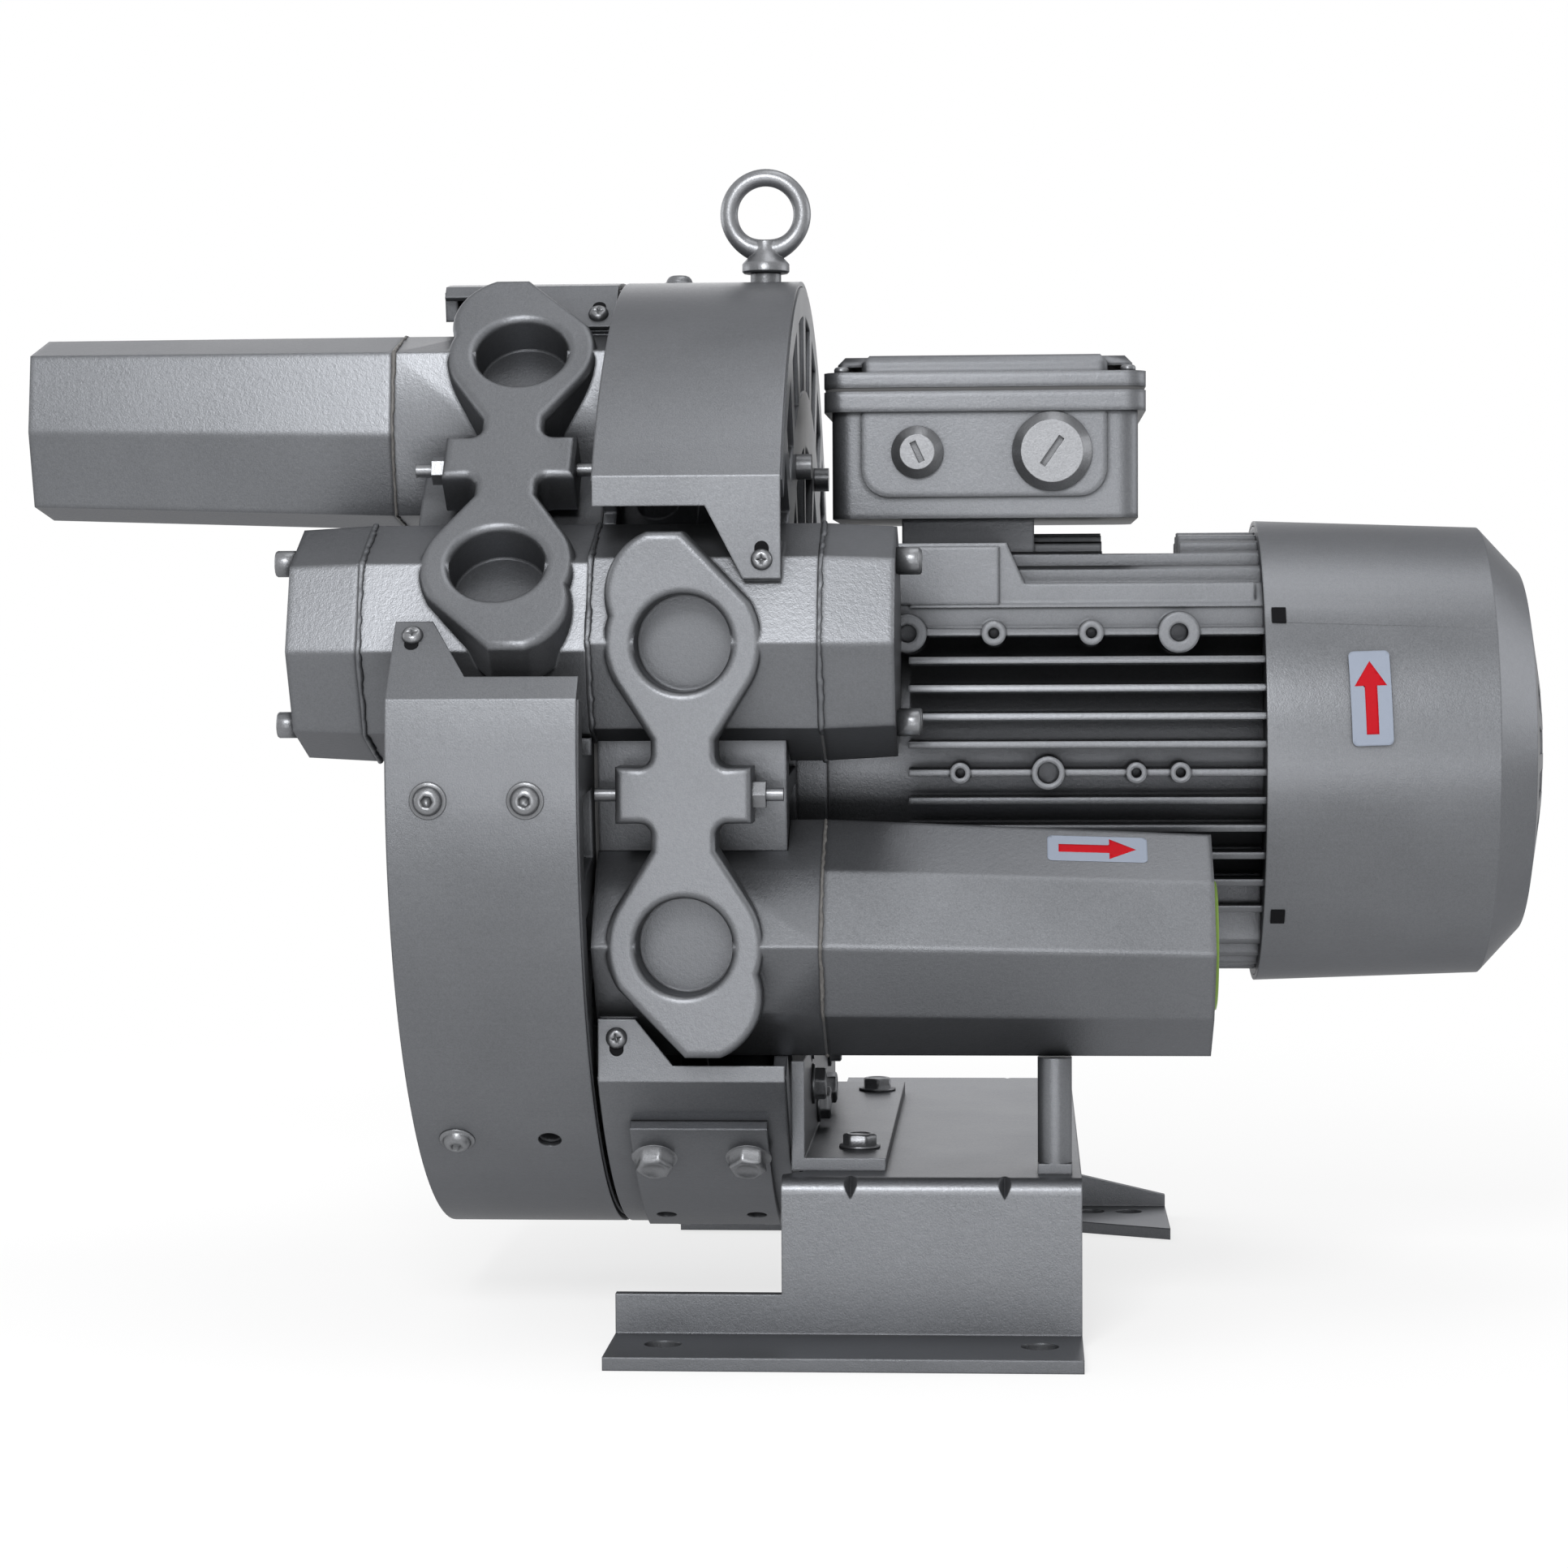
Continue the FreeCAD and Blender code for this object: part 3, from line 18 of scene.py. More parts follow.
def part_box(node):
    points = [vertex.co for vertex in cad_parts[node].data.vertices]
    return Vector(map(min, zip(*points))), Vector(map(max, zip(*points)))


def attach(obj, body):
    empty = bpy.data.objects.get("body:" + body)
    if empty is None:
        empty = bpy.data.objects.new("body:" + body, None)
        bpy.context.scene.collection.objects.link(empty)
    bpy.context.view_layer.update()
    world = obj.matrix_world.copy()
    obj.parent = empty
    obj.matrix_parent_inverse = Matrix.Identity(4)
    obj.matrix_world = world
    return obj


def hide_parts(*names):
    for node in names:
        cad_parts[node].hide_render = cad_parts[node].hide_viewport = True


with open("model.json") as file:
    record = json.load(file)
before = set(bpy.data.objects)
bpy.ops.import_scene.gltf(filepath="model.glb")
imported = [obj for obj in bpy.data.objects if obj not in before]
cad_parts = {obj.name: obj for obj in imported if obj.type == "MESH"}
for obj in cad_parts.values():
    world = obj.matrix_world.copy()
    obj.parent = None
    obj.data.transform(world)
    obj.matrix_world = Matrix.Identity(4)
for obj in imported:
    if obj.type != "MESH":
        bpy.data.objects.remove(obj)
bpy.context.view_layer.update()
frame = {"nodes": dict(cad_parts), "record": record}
nodes = frame["nodes"]
MM = 0.001

# %% [markdown]
# ## Sums on sockets
# A finish is a sum of noises, and a sum reads best as one. The class below wraps a socket, so
# that grain * 0.2 + 0.4 adds the Math nodes that it needs. Every other node comes from one
# method, which takes the node's type, its settings and its inputs. Shader trees and Geometry
# Nodes trees are both written in this way.

# %% Trees and their signals
class Signal:
    """A socket that can stand in a sum."""

    def __init__(self, graph, socket):
        self.graph = graph
        self.socket = socket

    def worked(self, operation, a, b):
        return self.graph.node("ShaderNodeMath", {"operation": operation}, {0: a, 1: b})

    def __add__(self, other):
        return self.worked("ADD", self, other)

    __radd__ = __add__

    def __mul__(self, other):
        return self.worked("MULTIPLY", self, other)

    def __sub__(self, other):
        return self.worked("SUBTRACT", self, other)

    def or_else(self, other):
        """The greater of two signals, which for two yes-or-no signals is either of them."""
        return self.worked("MAXIMUM", self, other)


class Graph:
    """A node tree that is built up node by node."""

    def __init__(self, tree):
        self.tree = tree
        tree.nodes.clear()

    def node(self, kind, settings, inputs, output=0):
        made = self.tree.nodes.new(kind)
        for name, value in settings.items():
            setattr(made, name, value)
        for name, value in inputs.items():
            if isinstance(value, Signal):
                self.tree.links.new(value.socket, made.inputs[name])
            else:
                made.inputs[name].default_value = value
        return Signal(self, made.outputs[output])


class Finish(Graph):
    """A material, with the few nodes that every finish here needs."""

    def __init__(self, name):
        self.material = bpy.data.materials.new(name)
        self.material.use_nodes = True
        super().__init__(self.material.node_tree)

    def place(self):
        return self.node("ShaderNodeTexCoord", {}, {}, "Object")

    def noise(self, size, detail=2.0, stretch=(1, 1, 1)):
        """Noise from 0 to 1 with spots of about that size, in metres."""
        place = self.node("ShaderNodeMapping", {}, {"Vector": self.place(), "Scale": stretch})
        inputs = {"Vector": place, "Scale": 1 / size, "Detail": detail}
        return self.node("ShaderNodeTexNoise", {}, inputs)

    def blend(self, share, a, b):
        return self.node("ShaderNodeMix", {"data_type": "RGBA"}, {0: share, 6: a, 7: b}, 2)

    def bump(self, height, depth, normal=None):
        inputs = {"Height": height, "Distance": depth, "Strength": 1.0}
        if normal:
            inputs["Normal"] = normal
        return self.node("ShaderNodeBump", {}, inputs)

    def skin(self, **sockets):
        """The surface itself, from the sockets' values or signals."""
        inputs = {name.replace("_", " "): value for name, value in sockets.items()}
        shader = self.node("ShaderNodeBsdfPrincipled", {}, inputs)
        end = self.tree.nodes.new("ShaderNodeOutputMaterial")
        self.tree.links.new(shader.socket, end.inputs["Surface"])
        print("finish:", self.material.name, "-", len(self.tree.nodes), "nodes")
        return self.material


def put_in_scene(name, data):
    piece = bpy.data.objects.new(name, data)
    bpy.context.scene.collection.objects.link(piece)
    return piece


class Recipe(Graph):
    """A Geometry Nodes tree with named inputs, run on a mesh to make a plain piece."""

    def __init__(self, name, **inputs):
        super().__init__(bpy.data.node_groups.new(name, "GeometryNodeTree"))
        for label, kind in inputs.items():
            self.tree.interface.new_socket(label, in_out="INPUT", socket_type="NodeSocket" + kind)
        self.tree.interface.new_socket("Made", in_out="OUTPUT", socket_type="NodeSocketGeometry")
        self.start = self.tree.nodes.new("NodeGroupInput")

    def given(self, label):
        return Signal(self, self.start.outputs[label])

    def end(self, geometry):
        real = self.node("GeometryNodeRealizeInstances", {}, {"Geometry": geometry})
        inputs = {"Geometry": real, "Material": self.given("Finish")}
        painted = self.node("GeometryNodeSetMaterial", {}, inputs)
        out = self.tree.nodes.new("NodeGroupOutput")
        self.tree.links.new(painted.socket, out.inputs["Made"])

    def make(self, name, mesh, **values):
        piece = put_in_scene(name, mesh)
        run = piece.modifiers.new(name, "NODES")
        run.node_group = self.tree
        for socket in self.tree.interface.items_tree:
            if socket.name in values:
                run[socket.identifier] = values[socket.name]
        bpy.context.view_layer.update()
        graph = bpy.context.evaluated_depsgraph_get()
        made = bpy.data.meshes.new_from_object(piece.evaluated_get(graph), depsgraph=graph)
        piece.modifiers.clear()
        piece.data = made
        print("made:", name, "-", len(made.polygons), "faces")
        return piece


print("trees: a signal for sums, a finish for surfaces, a recipe for pieces")

# %% [markdown]
# ## Silver-grey paint
# The paint holds fine aluminium flakes, so most of it shines like metal, and each flake catches
# the light a little differently: a noise of half a millimetre moves its tone. Sprayed by hand,
# it lies thicker in some places, which a slow noise shows as faint clouds. On castings the
# die's skin shows through as low bumps, on sheet metal it lies smooth over the mill's faint
# lines. A Bevel node lets every edge catch the light as a rounded one does, by more on the
# soft mouldings of silencers, caps and terminal box than on cut sheet. Gaps and hollows get
# painted shade: an Ambient Occlusion node darkens the colour there towards a near-black tone.

# %% Paint over castings, sheet and fasteners
SILVER = (0.172, 0.178, 0.190)
FASTENER_SILVER = (0.24, 0.246, 0.258)
# The near-black that gaps and hollows are darkened towards, as painted shade.
PAINTED_SHADE_TONE = (0.03, 0.031, 0.034, 1)
THIN_PAINT = 0.62
FLAKE, GRAIN, CLOUD = 0.55 * MM, 1.5 * MM, 38 * MM
FLAKE_DEPTH = 0.05 * MM
MILL_LINE, MILL_STRETCH = 1.4 * MM, (0.02, 1, 1)
PAINTED_SHADE_REACH = 28 * MM
RAYS = {"samples": 4}


def silver_paint(name, tone, skin_size, skin_depth, edge, roughness, lines=0.0):
    f = Finish(name)
    flakes = f.noise(FLAKE, 2.0)
    grains = f.noise(GRAIN, 3.0)
    clouds = f.noise(CLOUD, 4.0)
    shade = flakes * 0.9 + grains * 0.35 + clouds * 0.45 - 0.35
    if lines:
        shade = shade + (f.noise(MILL_LINE, 2.0, MILL_STRETCH) - 0.5) * lines
    dark = tuple(THIN_PAINT * part for part in tone)
    paint = f.blend(shade, (*dark, 1), (*tone, 1))
    rounded = f.node("ShaderNodeBevel", RAYS, {"Radius": edge})
    # Painted shade: the Ambient Occlusion node darkens the colour in gaps and hollows within this
    # reach.
    free_of_painted_shade = f.node("ShaderNodeAmbientOcclusion", RAYS, {"Distance": PAINTED_SHADE_REACH}, "AO")
    colour = f.blend(free_of_painted_shade * 0.75 + 0.25, PAINTED_SHADE_TONE, paint)
    skin = f.noise(skin_size, 4.0)
    orange_peel = f.bump(flakes, FLAKE_DEPTH, rounded)
    normal = f.bump(skin, skin_depth, orange_peel)
    rough = roughness + flakes * 0.2 - 0.1 + clouds * 0.1
    return f.skin(Base_Color=colour, Metallic=0.8, Roughness=rough, Normal=normal,
                  Specular_IOR_Level=0.35, Specular_Tint=(0.45, 0.45, 0.46, 1))


cast_paint = silver_paint("silver_paint_on_castings", SILVER, skin_size=1.6 * MM,
                          skin_depth=0.07 * MM, edge=1.7 * MM, roughness=0.33)
duct_paint = silver_paint("silver_paint_on_ducts", SILVER, skin_size=1.6 * MM,
                          skin_depth=0.06 * MM, edge=3.2 * MM, roughness=0.32)
sheet_paint = silver_paint("silver_paint_on_sheet", SILVER, skin_size=3.0 * MM,
                           skin_depth=0.04 * MM, edge=0.9 * MM, roughness=0.32, lines=0.12)
bolt_paint = silver_paint("silver_paint_on_fasteners", FASTENER_SILVER, skin_size=2.0 * MM,
                          skin_depth=0.06 * MM, edge=0.5 * MM, roughness=0.3)

# %% [markdown]
# ## The few things without paint
# Gaskets, the stickers and the ring at the outlet keep their own colours, and so do the pieces
# inside. Most hardly show, but through the fan cover's slots and the port one looks on
# black plastic, steel and foam. One function makes them all: a mottle in the tone, which also
# moves the gloss and the bumps.

# %% Rubber, plastics, bare metals, foam and a black for painted shade
def plain_finish(name, colour, roughness, metallic=0.0, size=1.0 * MM, depth=0.05 * MM,
                 change=0.25, shine=0.5):
    f = Finish(name)
    mottle = f.noise(size, 3.0)
    dark = tuple(part * (1 - change) for part in colour)
    tone = f.blend(mottle, (*dark, 1), (*colour, 1))
    rough = mottle * 0.2 + (roughness - 0.1)
    return f.skin(Base_Color=tone, Metallic=metallic, Roughness=rough, Specular_IOR_Level=shine,
                  Normal=f.bump(mottle, depth))


rubber = plain_finish("black_gasket_rubber", (0.06, 0.06, 0.062), 0.7)
fan_plastic = plain_finish("black_fan_plastic", (0.045, 0.045, 0.05), 0.5, size=3 * MM)
green_plastic = plain_finish("green_ring_plastic", (0.17, 0.27, 0.05), 0.5, size=4 * MM,
                             change=0.1, shine=0.2)
# A near-black for painted shade, laid where a window or a slot shows only its dark hollow.
dark_hollow = plain_finish("dark_hollow", (0.006, 0.006, 0.007), 0.9, shine=0.1)
steel = plain_finish("turned_steel", (0.56, 0.57, 0.58), 0.32, 1.0, size=0.5 * MM, change=0.12)
bare_casting = plain_finish("bare_aluminium_casting", (0.66, 0.67, 0.68), 0.45, 0.9,
                            size=2 * MM, change=0.15)
copper = plain_finish("enamelled_copper", (0.62, 0.26, 0.12), 0.35, 0.8, size=1.5 * MM)
label_film = plain_finish("pale_label_film", (0.24, 0.27, 0.33), 0.6, size=6 * MM,
                          change=0.08, shine=0.1)
arrow_red = plain_finish("red_print", (0.38, 0.004, 0.010), 0.6, size=4 * MM,
                         change=0.12, shine=0.1)
sealant = plain_finish("painted_over_sealant", (0.15, 0.145, 0.14), 0.6, 0.2,
                       size=2.5 * MM, depth=0.3 * MM, change=0.7)
foam = plain_finish("sound_foam", (0.11, 0.11, 0.115), 0.9, size=1.5 * MM, depth=0.5 * MM,
                    change=0.5)

# %% [markdown]
# ## Dressing the CAD pieces
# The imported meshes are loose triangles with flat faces. A joined copy, with its coplanar
# triangles dissolved, shades smoothly round its curves and stays crisp at its edges: edges
# steeper than a limit are marked sharp, and normals weighted by area keep flat faces flat.
# Silencers, duct caps, the terminal box, the foot and its cradle have weak creases that have
# to show, so their limit is lower.

# %% Joined copies of the visible nodes
STAGE_FINISH = {"outer_casing": cast_paint, "inner_casing": cast_paint, "manifold": cast_paint,
                "duct_cap": duct_paint, "hood": sheet_paint}
finish_of = {"stage_%d_%s" % (stage, part): finish
             for stage in (1, 2) for part, finish in STAGE_FINISH.items()}
for name in ("inlet_silencer", "outlet_silencer", "terminal_box", "terminal_box_lid"):
    finish_of[name] = duct_paint
for name in ("motor_frame", "rear_endshield", "end_bearing_cap"):
    finish_of[name] = cast_paint
for name in ("fan_cover", "foot_frame", "cradle", "front_bracket", "silencer_post"):
    finish_of[name] = sheet_paint
for name in ("tie_bolts", "lug_studs", "lug_nuts", "small_blind_plug", "large_blind_plug"):
    finish_of[name] = bolt_paint
REMADE = ["cap_bolts", "hood_screws", "tab_screws", "bracket_bolts", "cradle_bolts", "lid_screws",
          "lifting_eye", "outlet_port_ring"]
SHARP = math.radians(31)
CRISP = math.radians(14)
CRISP_NODES = ["inlet_silencer", "outlet_silencer", "stage_1_duct_cap", "stage_2_duct_cap",
               "terminal_box", "terminal_box_lid", "foot_frame", "cradle"]
WELD = 2e-6
FLAT = math.radians(0.4)
SHAFT_HEIGHT = 220 * MM


def shade(work, sharp):
    for face in work.faces:
        face.smooth = True
    for edge in work.edges:
        edge.smooth = len(edge.link_faces) == 2 and edge.calc_face_angle(0) < sharp


def mesh_from(work, name):
    mesh = bpy.data.meshes.new(name)
    work.to_mesh(mesh)
    work.free()
    return mesh


def thicken(piece, thickness):
    """Gives a thin skin its thickness, half to each side."""
    solid = piece.modifiers.new("thickness", "SOLIDIFY")
    solid.thickness = thickness
    solid.offset = 0


def joined_copy(node, sharp=SHARP):
    """A node's mesh with its triangles welded and its flat areas dissolved."""
    mesh = nodes[node].data.copy()
    work = bmesh.new()
    work.from_mesh(mesh)
    bmesh.ops.remove_doubles(work, verts=work.verts, dist=WELD)
    bmesh.ops.dissolve_degenerate(work, edges=work.edges, dist=WELD)
    bmesh.ops.dissolve_limit(work, angle_limit=FLAT, verts=work.verts, edges=work.edges)
    shade(work, sharp)
    work.to_mesh(mesh)
    work.free()
    mesh.materials.clear()
    piece = put_in_scene(node + "_skin", mesh)
    weighted = piece.modifiers.new("flat_faces_stay_flat", "WEIGHTED_NORMAL")
    weighted.keep_sharp = True
    return piece


record = frame["record"]
body_of = {node: body
           for body, members in record["behaviour"]["bodies"].items() for node in members}


def dress(piece, node, finish=None):
    """Gives a piece its finish and puts it in its node's place."""
    if finish:
        piece.data.materials.append(finish)
    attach(piece, body_of[node])
    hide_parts(node)


def add(piece):
    """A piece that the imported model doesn't have."""
    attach(piece, "blower")


for node, finish in finish_of.items():
    if node != "fan_cover":
        dress(joined_copy(node, CRISP if node in CRISP_NODES else SHARP), node, finish)
print("dressed:", len(finish_of), "nodes")

# %% [markdown]
# The fan cover is drawn from thin sheet and narrows a little towards its back, which the packed
# cover leaves out. Its copy is drawn in there, by more the further back a corner is.

# %% Fan cover
COVER_NARROWS = 0.045
COVER_STRAIGHT = 0.2


def narrowed_cover():
    piece = joined_copy("fan_cover")
    front, back = (corner[0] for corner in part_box("fan_cover"))
    for corner in piece.data.vertices:
        along = (corner.co.x - front) / (back - front)
        share = 1 - COVER_NARROWS * max(0.0, along - COVER_STRAIGHT) / (1 - COVER_STRAIGHT)
        corner.co.y *= share
        corner.co.z = SHAFT_HEIGHT + (corner.co.z - SHAFT_HEIGHT) * share
    return piece


dress(narrowed_cover(), "fan_cover", sheet_paint)
print("fan cover narrows by", COVER_NARROWS)

# %% [markdown]
# The cover snaps onto the motor through four small windows, and each window shows as a dark
# hollow in shade. A thin black bow of painted shade lies there over the tongue that fills the
# imported window.

# %% Painted shade in the windows of the snaps
SNAP_TURNS = (36.0, -42.0, 144.0, -138.0)
SNAP_WIDE = math.radians(4.4)
SNAP_FROM, SNAP_TO = 160.8 * MM, 166.2 * MM
SNAP_OUT = 93.9 * MM
SNAP_DEPTH = 0.3 * MM
SNAP_FACETS = 6


def snap_window_shade(turn):
    work = bmesh.new()
    rows = []
    for k in range(SNAP_FACETS + 1):
        a = math.radians(turn) + SNAP_WIDE * (k / SNAP_FACETS - 0.5)
        y, z = -SNAP_OUT * math.cos(a), SHAFT_HEIGHT + SNAP_OUT * math.sin(a)
        rows.append([work.verts.new((x, y, z)) for x in (SNAP_FROM, SNAP_TO)])
    for low, high in zip(rows, rows[1:]):
        work.faces.new((low[0], low[1], high[1], high[0]))
    mesh = mesh_from(work, "snap_window_shade")
    mesh.materials.append(dark_hollow)
    piece = put_in_scene("snap_window_%d" % (turn + 180), mesh)
    thicken(piece, SNAP_DEPTH)
    add(piece)


for turn in SNAP_TURNS:
    snap_window_shade(turn)
print("snap windows:", len(SNAP_TURNS))

# %% [markdown]
# What is inside stays as it was packed and only gets its own finish. Gaskets and seals, which
# the list leaves out, are black rubber.

# %% Finishes of the pieces that stay as they are
kept = {"shaft": steel, "rotor_core": steel, "stator_core": steel,
        "bearing_1": steel, "bearing_2": steel, "rear_bearing": steel,
        "stage_1_impeller": bare_casting, "stage_2_impeller": bare_casting,
        "cooling_fan": fan_plastic, "terminal_block": fan_plastic, "windings": copper,
        "inlet_liner": foam, "outlet_liner": foam}
for node in nodes:
    if node not in finish_of and node not in REMADE:
        nodes[node].data.materials.clear()
        nodes[node].data.materials.append(kept.get(node, rubber))
print("kept:", len(nodes) - len(finish_of) - len(REMADE), "nodes")

# %% [markdown]
# ## Where the stages lie
# The second stage lies as it was drawn. The first is turned half round and rolled back, so
# that its duct meets the other's. Screws and beads need only this turn: everything else is
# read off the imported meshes.

# %% The stages' turn and the loose solids
STAGE_SPLIT = -96 * MM
STAGE_ROLL = 2 * math.atan2(45.7, 120)
FORWARD = Vector((0, -1, 0))
CRADLE_SCREW_TOP = 68 * MM


def from_shaft(place):
    return Vector((0, place.y, place.z - SHAFT_HEIGHT)).normalized()


def stage_front(place):
    """The way that the stage at a place looks."""
    roll = -STAGE_ROLL if place.x < STAGE_SPLIT else 0.0
    return Matrix.Rotation(roll, 3, "X") @ FORWARD


def to_the_ends(place):
    return Vector((-1 if place.x < STAGE_SPLIT else 1, 0, 0))


def upwards(place):
    return Vector((0, 0, 1))


def off_the_cradle(place):
    """The cradle's screws look backwards, those in the foot's table look up."""
    return Vector((0, 0, 1)) if place.z < CRADLE_SCREW_TOP else Vector((1, 0, 0))


def loose_solids(node):
    """The corners of each separate solid in a node, from left to right."""
    work = bmesh.new()
    work.from_mesh(nodes[node].data)
    bmesh.ops.remove_doubles(work, verts=work.verts, dist=WELD)
    work.verts.index_update()
    reached = set()
    solids = []
    for start in work.verts:
        if start.index in reached:
            continue
        reached.add(start.index)
        todo, group = [start], []
        while todo:
            corner = todo.pop()
            group.append(corner.co.copy())
            for edge in corner.link_edges:
                near = edge.other_vert(corner)
                if near.index not in reached:
                    reached.add(near.index)
                    todo.append(near)
        solids.append(group)
    work.free()
    return sorted(solids, key=lambda group: tuple(round(part, 4) for part in middle_of(group)))


def middle_of(places):
    return sum(places, Vector()) / len(places)


print("stages: the first is rolled back by", round(math.degrees(STAGE_ROLL), 1), "degrees")

# %% [markdown]
# ## Screw heads
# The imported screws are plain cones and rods. Each kind of head is lofted again through rings:
# over its washer and its dome, and down into its socket. Geometry Nodes put one copy where
# each packed screw has its head, turned about its axis as the hand left it.

# %% Heads through rings
RING = 48
HEAD_SHARP = math.radians(38)
CROSS_WAIST = 0.36


def reach(shape, size, angle):
    """How far a ring's outline lies from its middle in one direction."""
    if shape == "hexagon":
        off = (angle + math.pi / 6) % (math.pi / 3) - math.pi / 6
        return size * math.cos(math.pi / 6) / math.cos(off)
    if shape == "cross":
        return size * (CROSS_WAIST + (1 - CROSS_WAIST) * abs(math.cos(2 * angle)) ** 8)
    return size


def loft(work, rings):
    """Adds a closed body through rings, each a shape, a radius and a height in millimetres."""
    loops = []
    for shape, size, height in rings:
        loop = []
        for k in range(RING):
            angle = math.tau * k / RING
            r = reach(shape, size, angle)
            place = Vector((r * math.cos(angle), r * math.sin(angle), height))
            loop.append(work.verts.new(place * MM))
        loops.append(loop)
    for low, high in zip(loops, loops[1:]):
        for k in range(RING):
            work.faces.new((low[k - 1], low[k], high[k], high[k - 1]))
    work.faces.new(loops[0][::-1])
    work.faces.new(loops[-1])


def head(name, *rings):
    work = bmesh.new()
    loft(work, rings)
    shade(work, HEAD_SHARP)
    return bpy.data.objects.new(name, mesh_from(work, name))


button_head = head("button_head", ("round", 6.9, -0.2), ("round", 6.9, 0.3), ("round", 6.5, 0.6),
                   ("round", 5.5, 0.7), ("round", 5.4, 1.1), ("round", 5.0, 2.2),
                   ("round", 4.2, 3.1), ("round", 3.2, 3.6), ("hexagon", 2.4, 3.7),
                   ("hexagon", 2.3, 1.9))
cross_head = head("cross_head", ("round", 4.0, -0.3), ("round", 4.0, 0.5), ("round", 3.7, 1.3),
                  ("round", 3.0, 2.0), ("round", 2.5, 2.3), ("cross", 2.2, 2.35),
                  ("cross", 1.5, 1.2))
cap_head = head("cap_head", ("round", 5.0, -0.3), ("round", 5.0, 8.2), ("round", 4.6, 8.8),
                ("round", 3.6, 9.0), ("hexagon", 3.0, 8.9), ("hexagon", 2.9, 5.0))
hexagon_head = head("hexagon_head", ("round", 9.0, 0.0), ("round", 9.0, 1.2), ("round", 8.6, 1.5),
                    ("hexagon", 7.4, 1.55), ("hexagon", 7.4, 5.9), ("hexagon", 7.0, 6.6),
                    ("round", 5.8, 7.2), ("round", 4.6, 7.25), ("round", 4.2, 6.9))
low_head = head("low_head", ("round", 8.0, 0.0), ("round", 8.0, 1.0), ("round", 7.7, 1.2),
                ("hexagon", 6.6, 1.25), ("hexagon", 6.6, 4.6), ("hexagon", 6.3, 5.1),
                ("round", 5.2, 5.5), ("round", 4.1, 5.5), ("round", 3.8, 5.2))
small_head = head("small_head", ("round", 3.0, -0.3), ("round", 3.0, 1.6), ("round", 2.6, 2.2),
                  ("round", 2.0, 2.5), ("cross", 1.7, 2.5), ("cross", 1.2, 1.4))
print("heads: 6 kinds, of", RING, "corners to a ring")

# %% The recipe that puts a head on every seat
heads = Recipe("heads_on_screws", Seats="Geometry", Head="Object", Seed="Int", Finish="Material")
out = heads.node("GeometryNodeInputNamedAttribute", {"data_type": "FLOAT_VECTOR"},
                 {"Name": "outward"})
stood = heads.node("FunctionNodeAlignRotationToVector", {"axis": "Z"}, {"Vector": out})
spin = heads.node("FunctionNodeRandomValue", {},
                  {"Min": 0.0, "Max": math.tau, "Seed": heads.given("Seed")}, 1)
about = heads.node("ShaderNodeCombineXYZ", {}, {"Z": spin})
twist = heads.node("FunctionNodeEulerToRotation", {}, {0: about})
spun = heads.node("FunctionNodeRotateRotation", {"rotation_space": "LOCAL"},
                  {"Rotation": stood, "Rotate By": twist})
model = heads.node("GeometryNodeObjectInfo", {}, {"Object": heads.given("Head")}, "Geometry")
heads.end(heads.node("GeometryNodeInstanceOnPoints", {},
                     {"Points": heads.given("Seats"), "Instance": model, "Rotation": spun}))

CROWN_DEPTH = 0.1 * MM


def put_heads(node, model, way, height, seed):
    """Puts a head in place of each packed one, whose own height tells where its seat is."""
    seats, ways = [], []
    for solid in loose_solids(node):
        outward = way(middle_of(solid))
        top = max(place.dot(outward) for place in solid)
        crown = middle_of([place for place in solid if place.dot(outward) > top - CROWN_DEPTH])
        seats.append(crown - outward * height * MM)
        ways.append(outward)
    mesh = bpy.data.meshes.new(node + "_heads")
    mesh.from_pydata(seats, [], [])
    mark = mesh.attributes.new("outward", "FLOAT_VECTOR", "POINT")
    for entry, outward in zip(mark.data, ways):
        entry.vector = outward
    piece = heads.make(node + "_heads", mesh, Head=model, Seed=seed, Finish=bolt_paint)
    dress(piece, node)


put_heads("hood_screws", button_head, from_shaft, 4.0, 3)
put_heads("tab_screws", cross_head, stage_front, 2.4, 5)
put_heads("cap_bolts", cap_head, to_the_ends, 9.0, 7)
put_heads("bracket_bolts", hexagon_head, from_shaft, 7.5, 11)
put_heads("cradle_bolts", low_head, off_the_cradle, 5.5, 19)
put_heads("lid_screws", small_head, upwards, 2.5, 13)

# %% [markdown]
# ## The ring at the outlet
# Of the green ring only a narrow bow shows past the silencer's end. It is a slim moulding
# with a round edge, lofted about the port.

# %% Slim green ring
PORT_RING_R, PORT_RING_BORE = 24.6, 22.9
PORT_RING_PROFILE = [(PORT_RING_BORE, 0.0), (PORT_RING_R, 0.0), (PORT_RING_R, 1.0),
                     (PORT_RING_R - 0.4, 1.7), (PORT_RING_BORE + 0.4, 1.9), (PORT_RING_BORE, 1.4)]
PORT_RING_STEPS = 96
PORT_RING_SHARP = math.radians(50)


def closed_skin(work, rings):
    """Joins rings into a tube, and its last ring to its first."""
    for i, ring in enumerate(rings):
        for k in range(len(ring)):
            work.faces.new((rings[i - 1][k - 1], rings[i - 1][k], ring[k], ring[k - 1]))


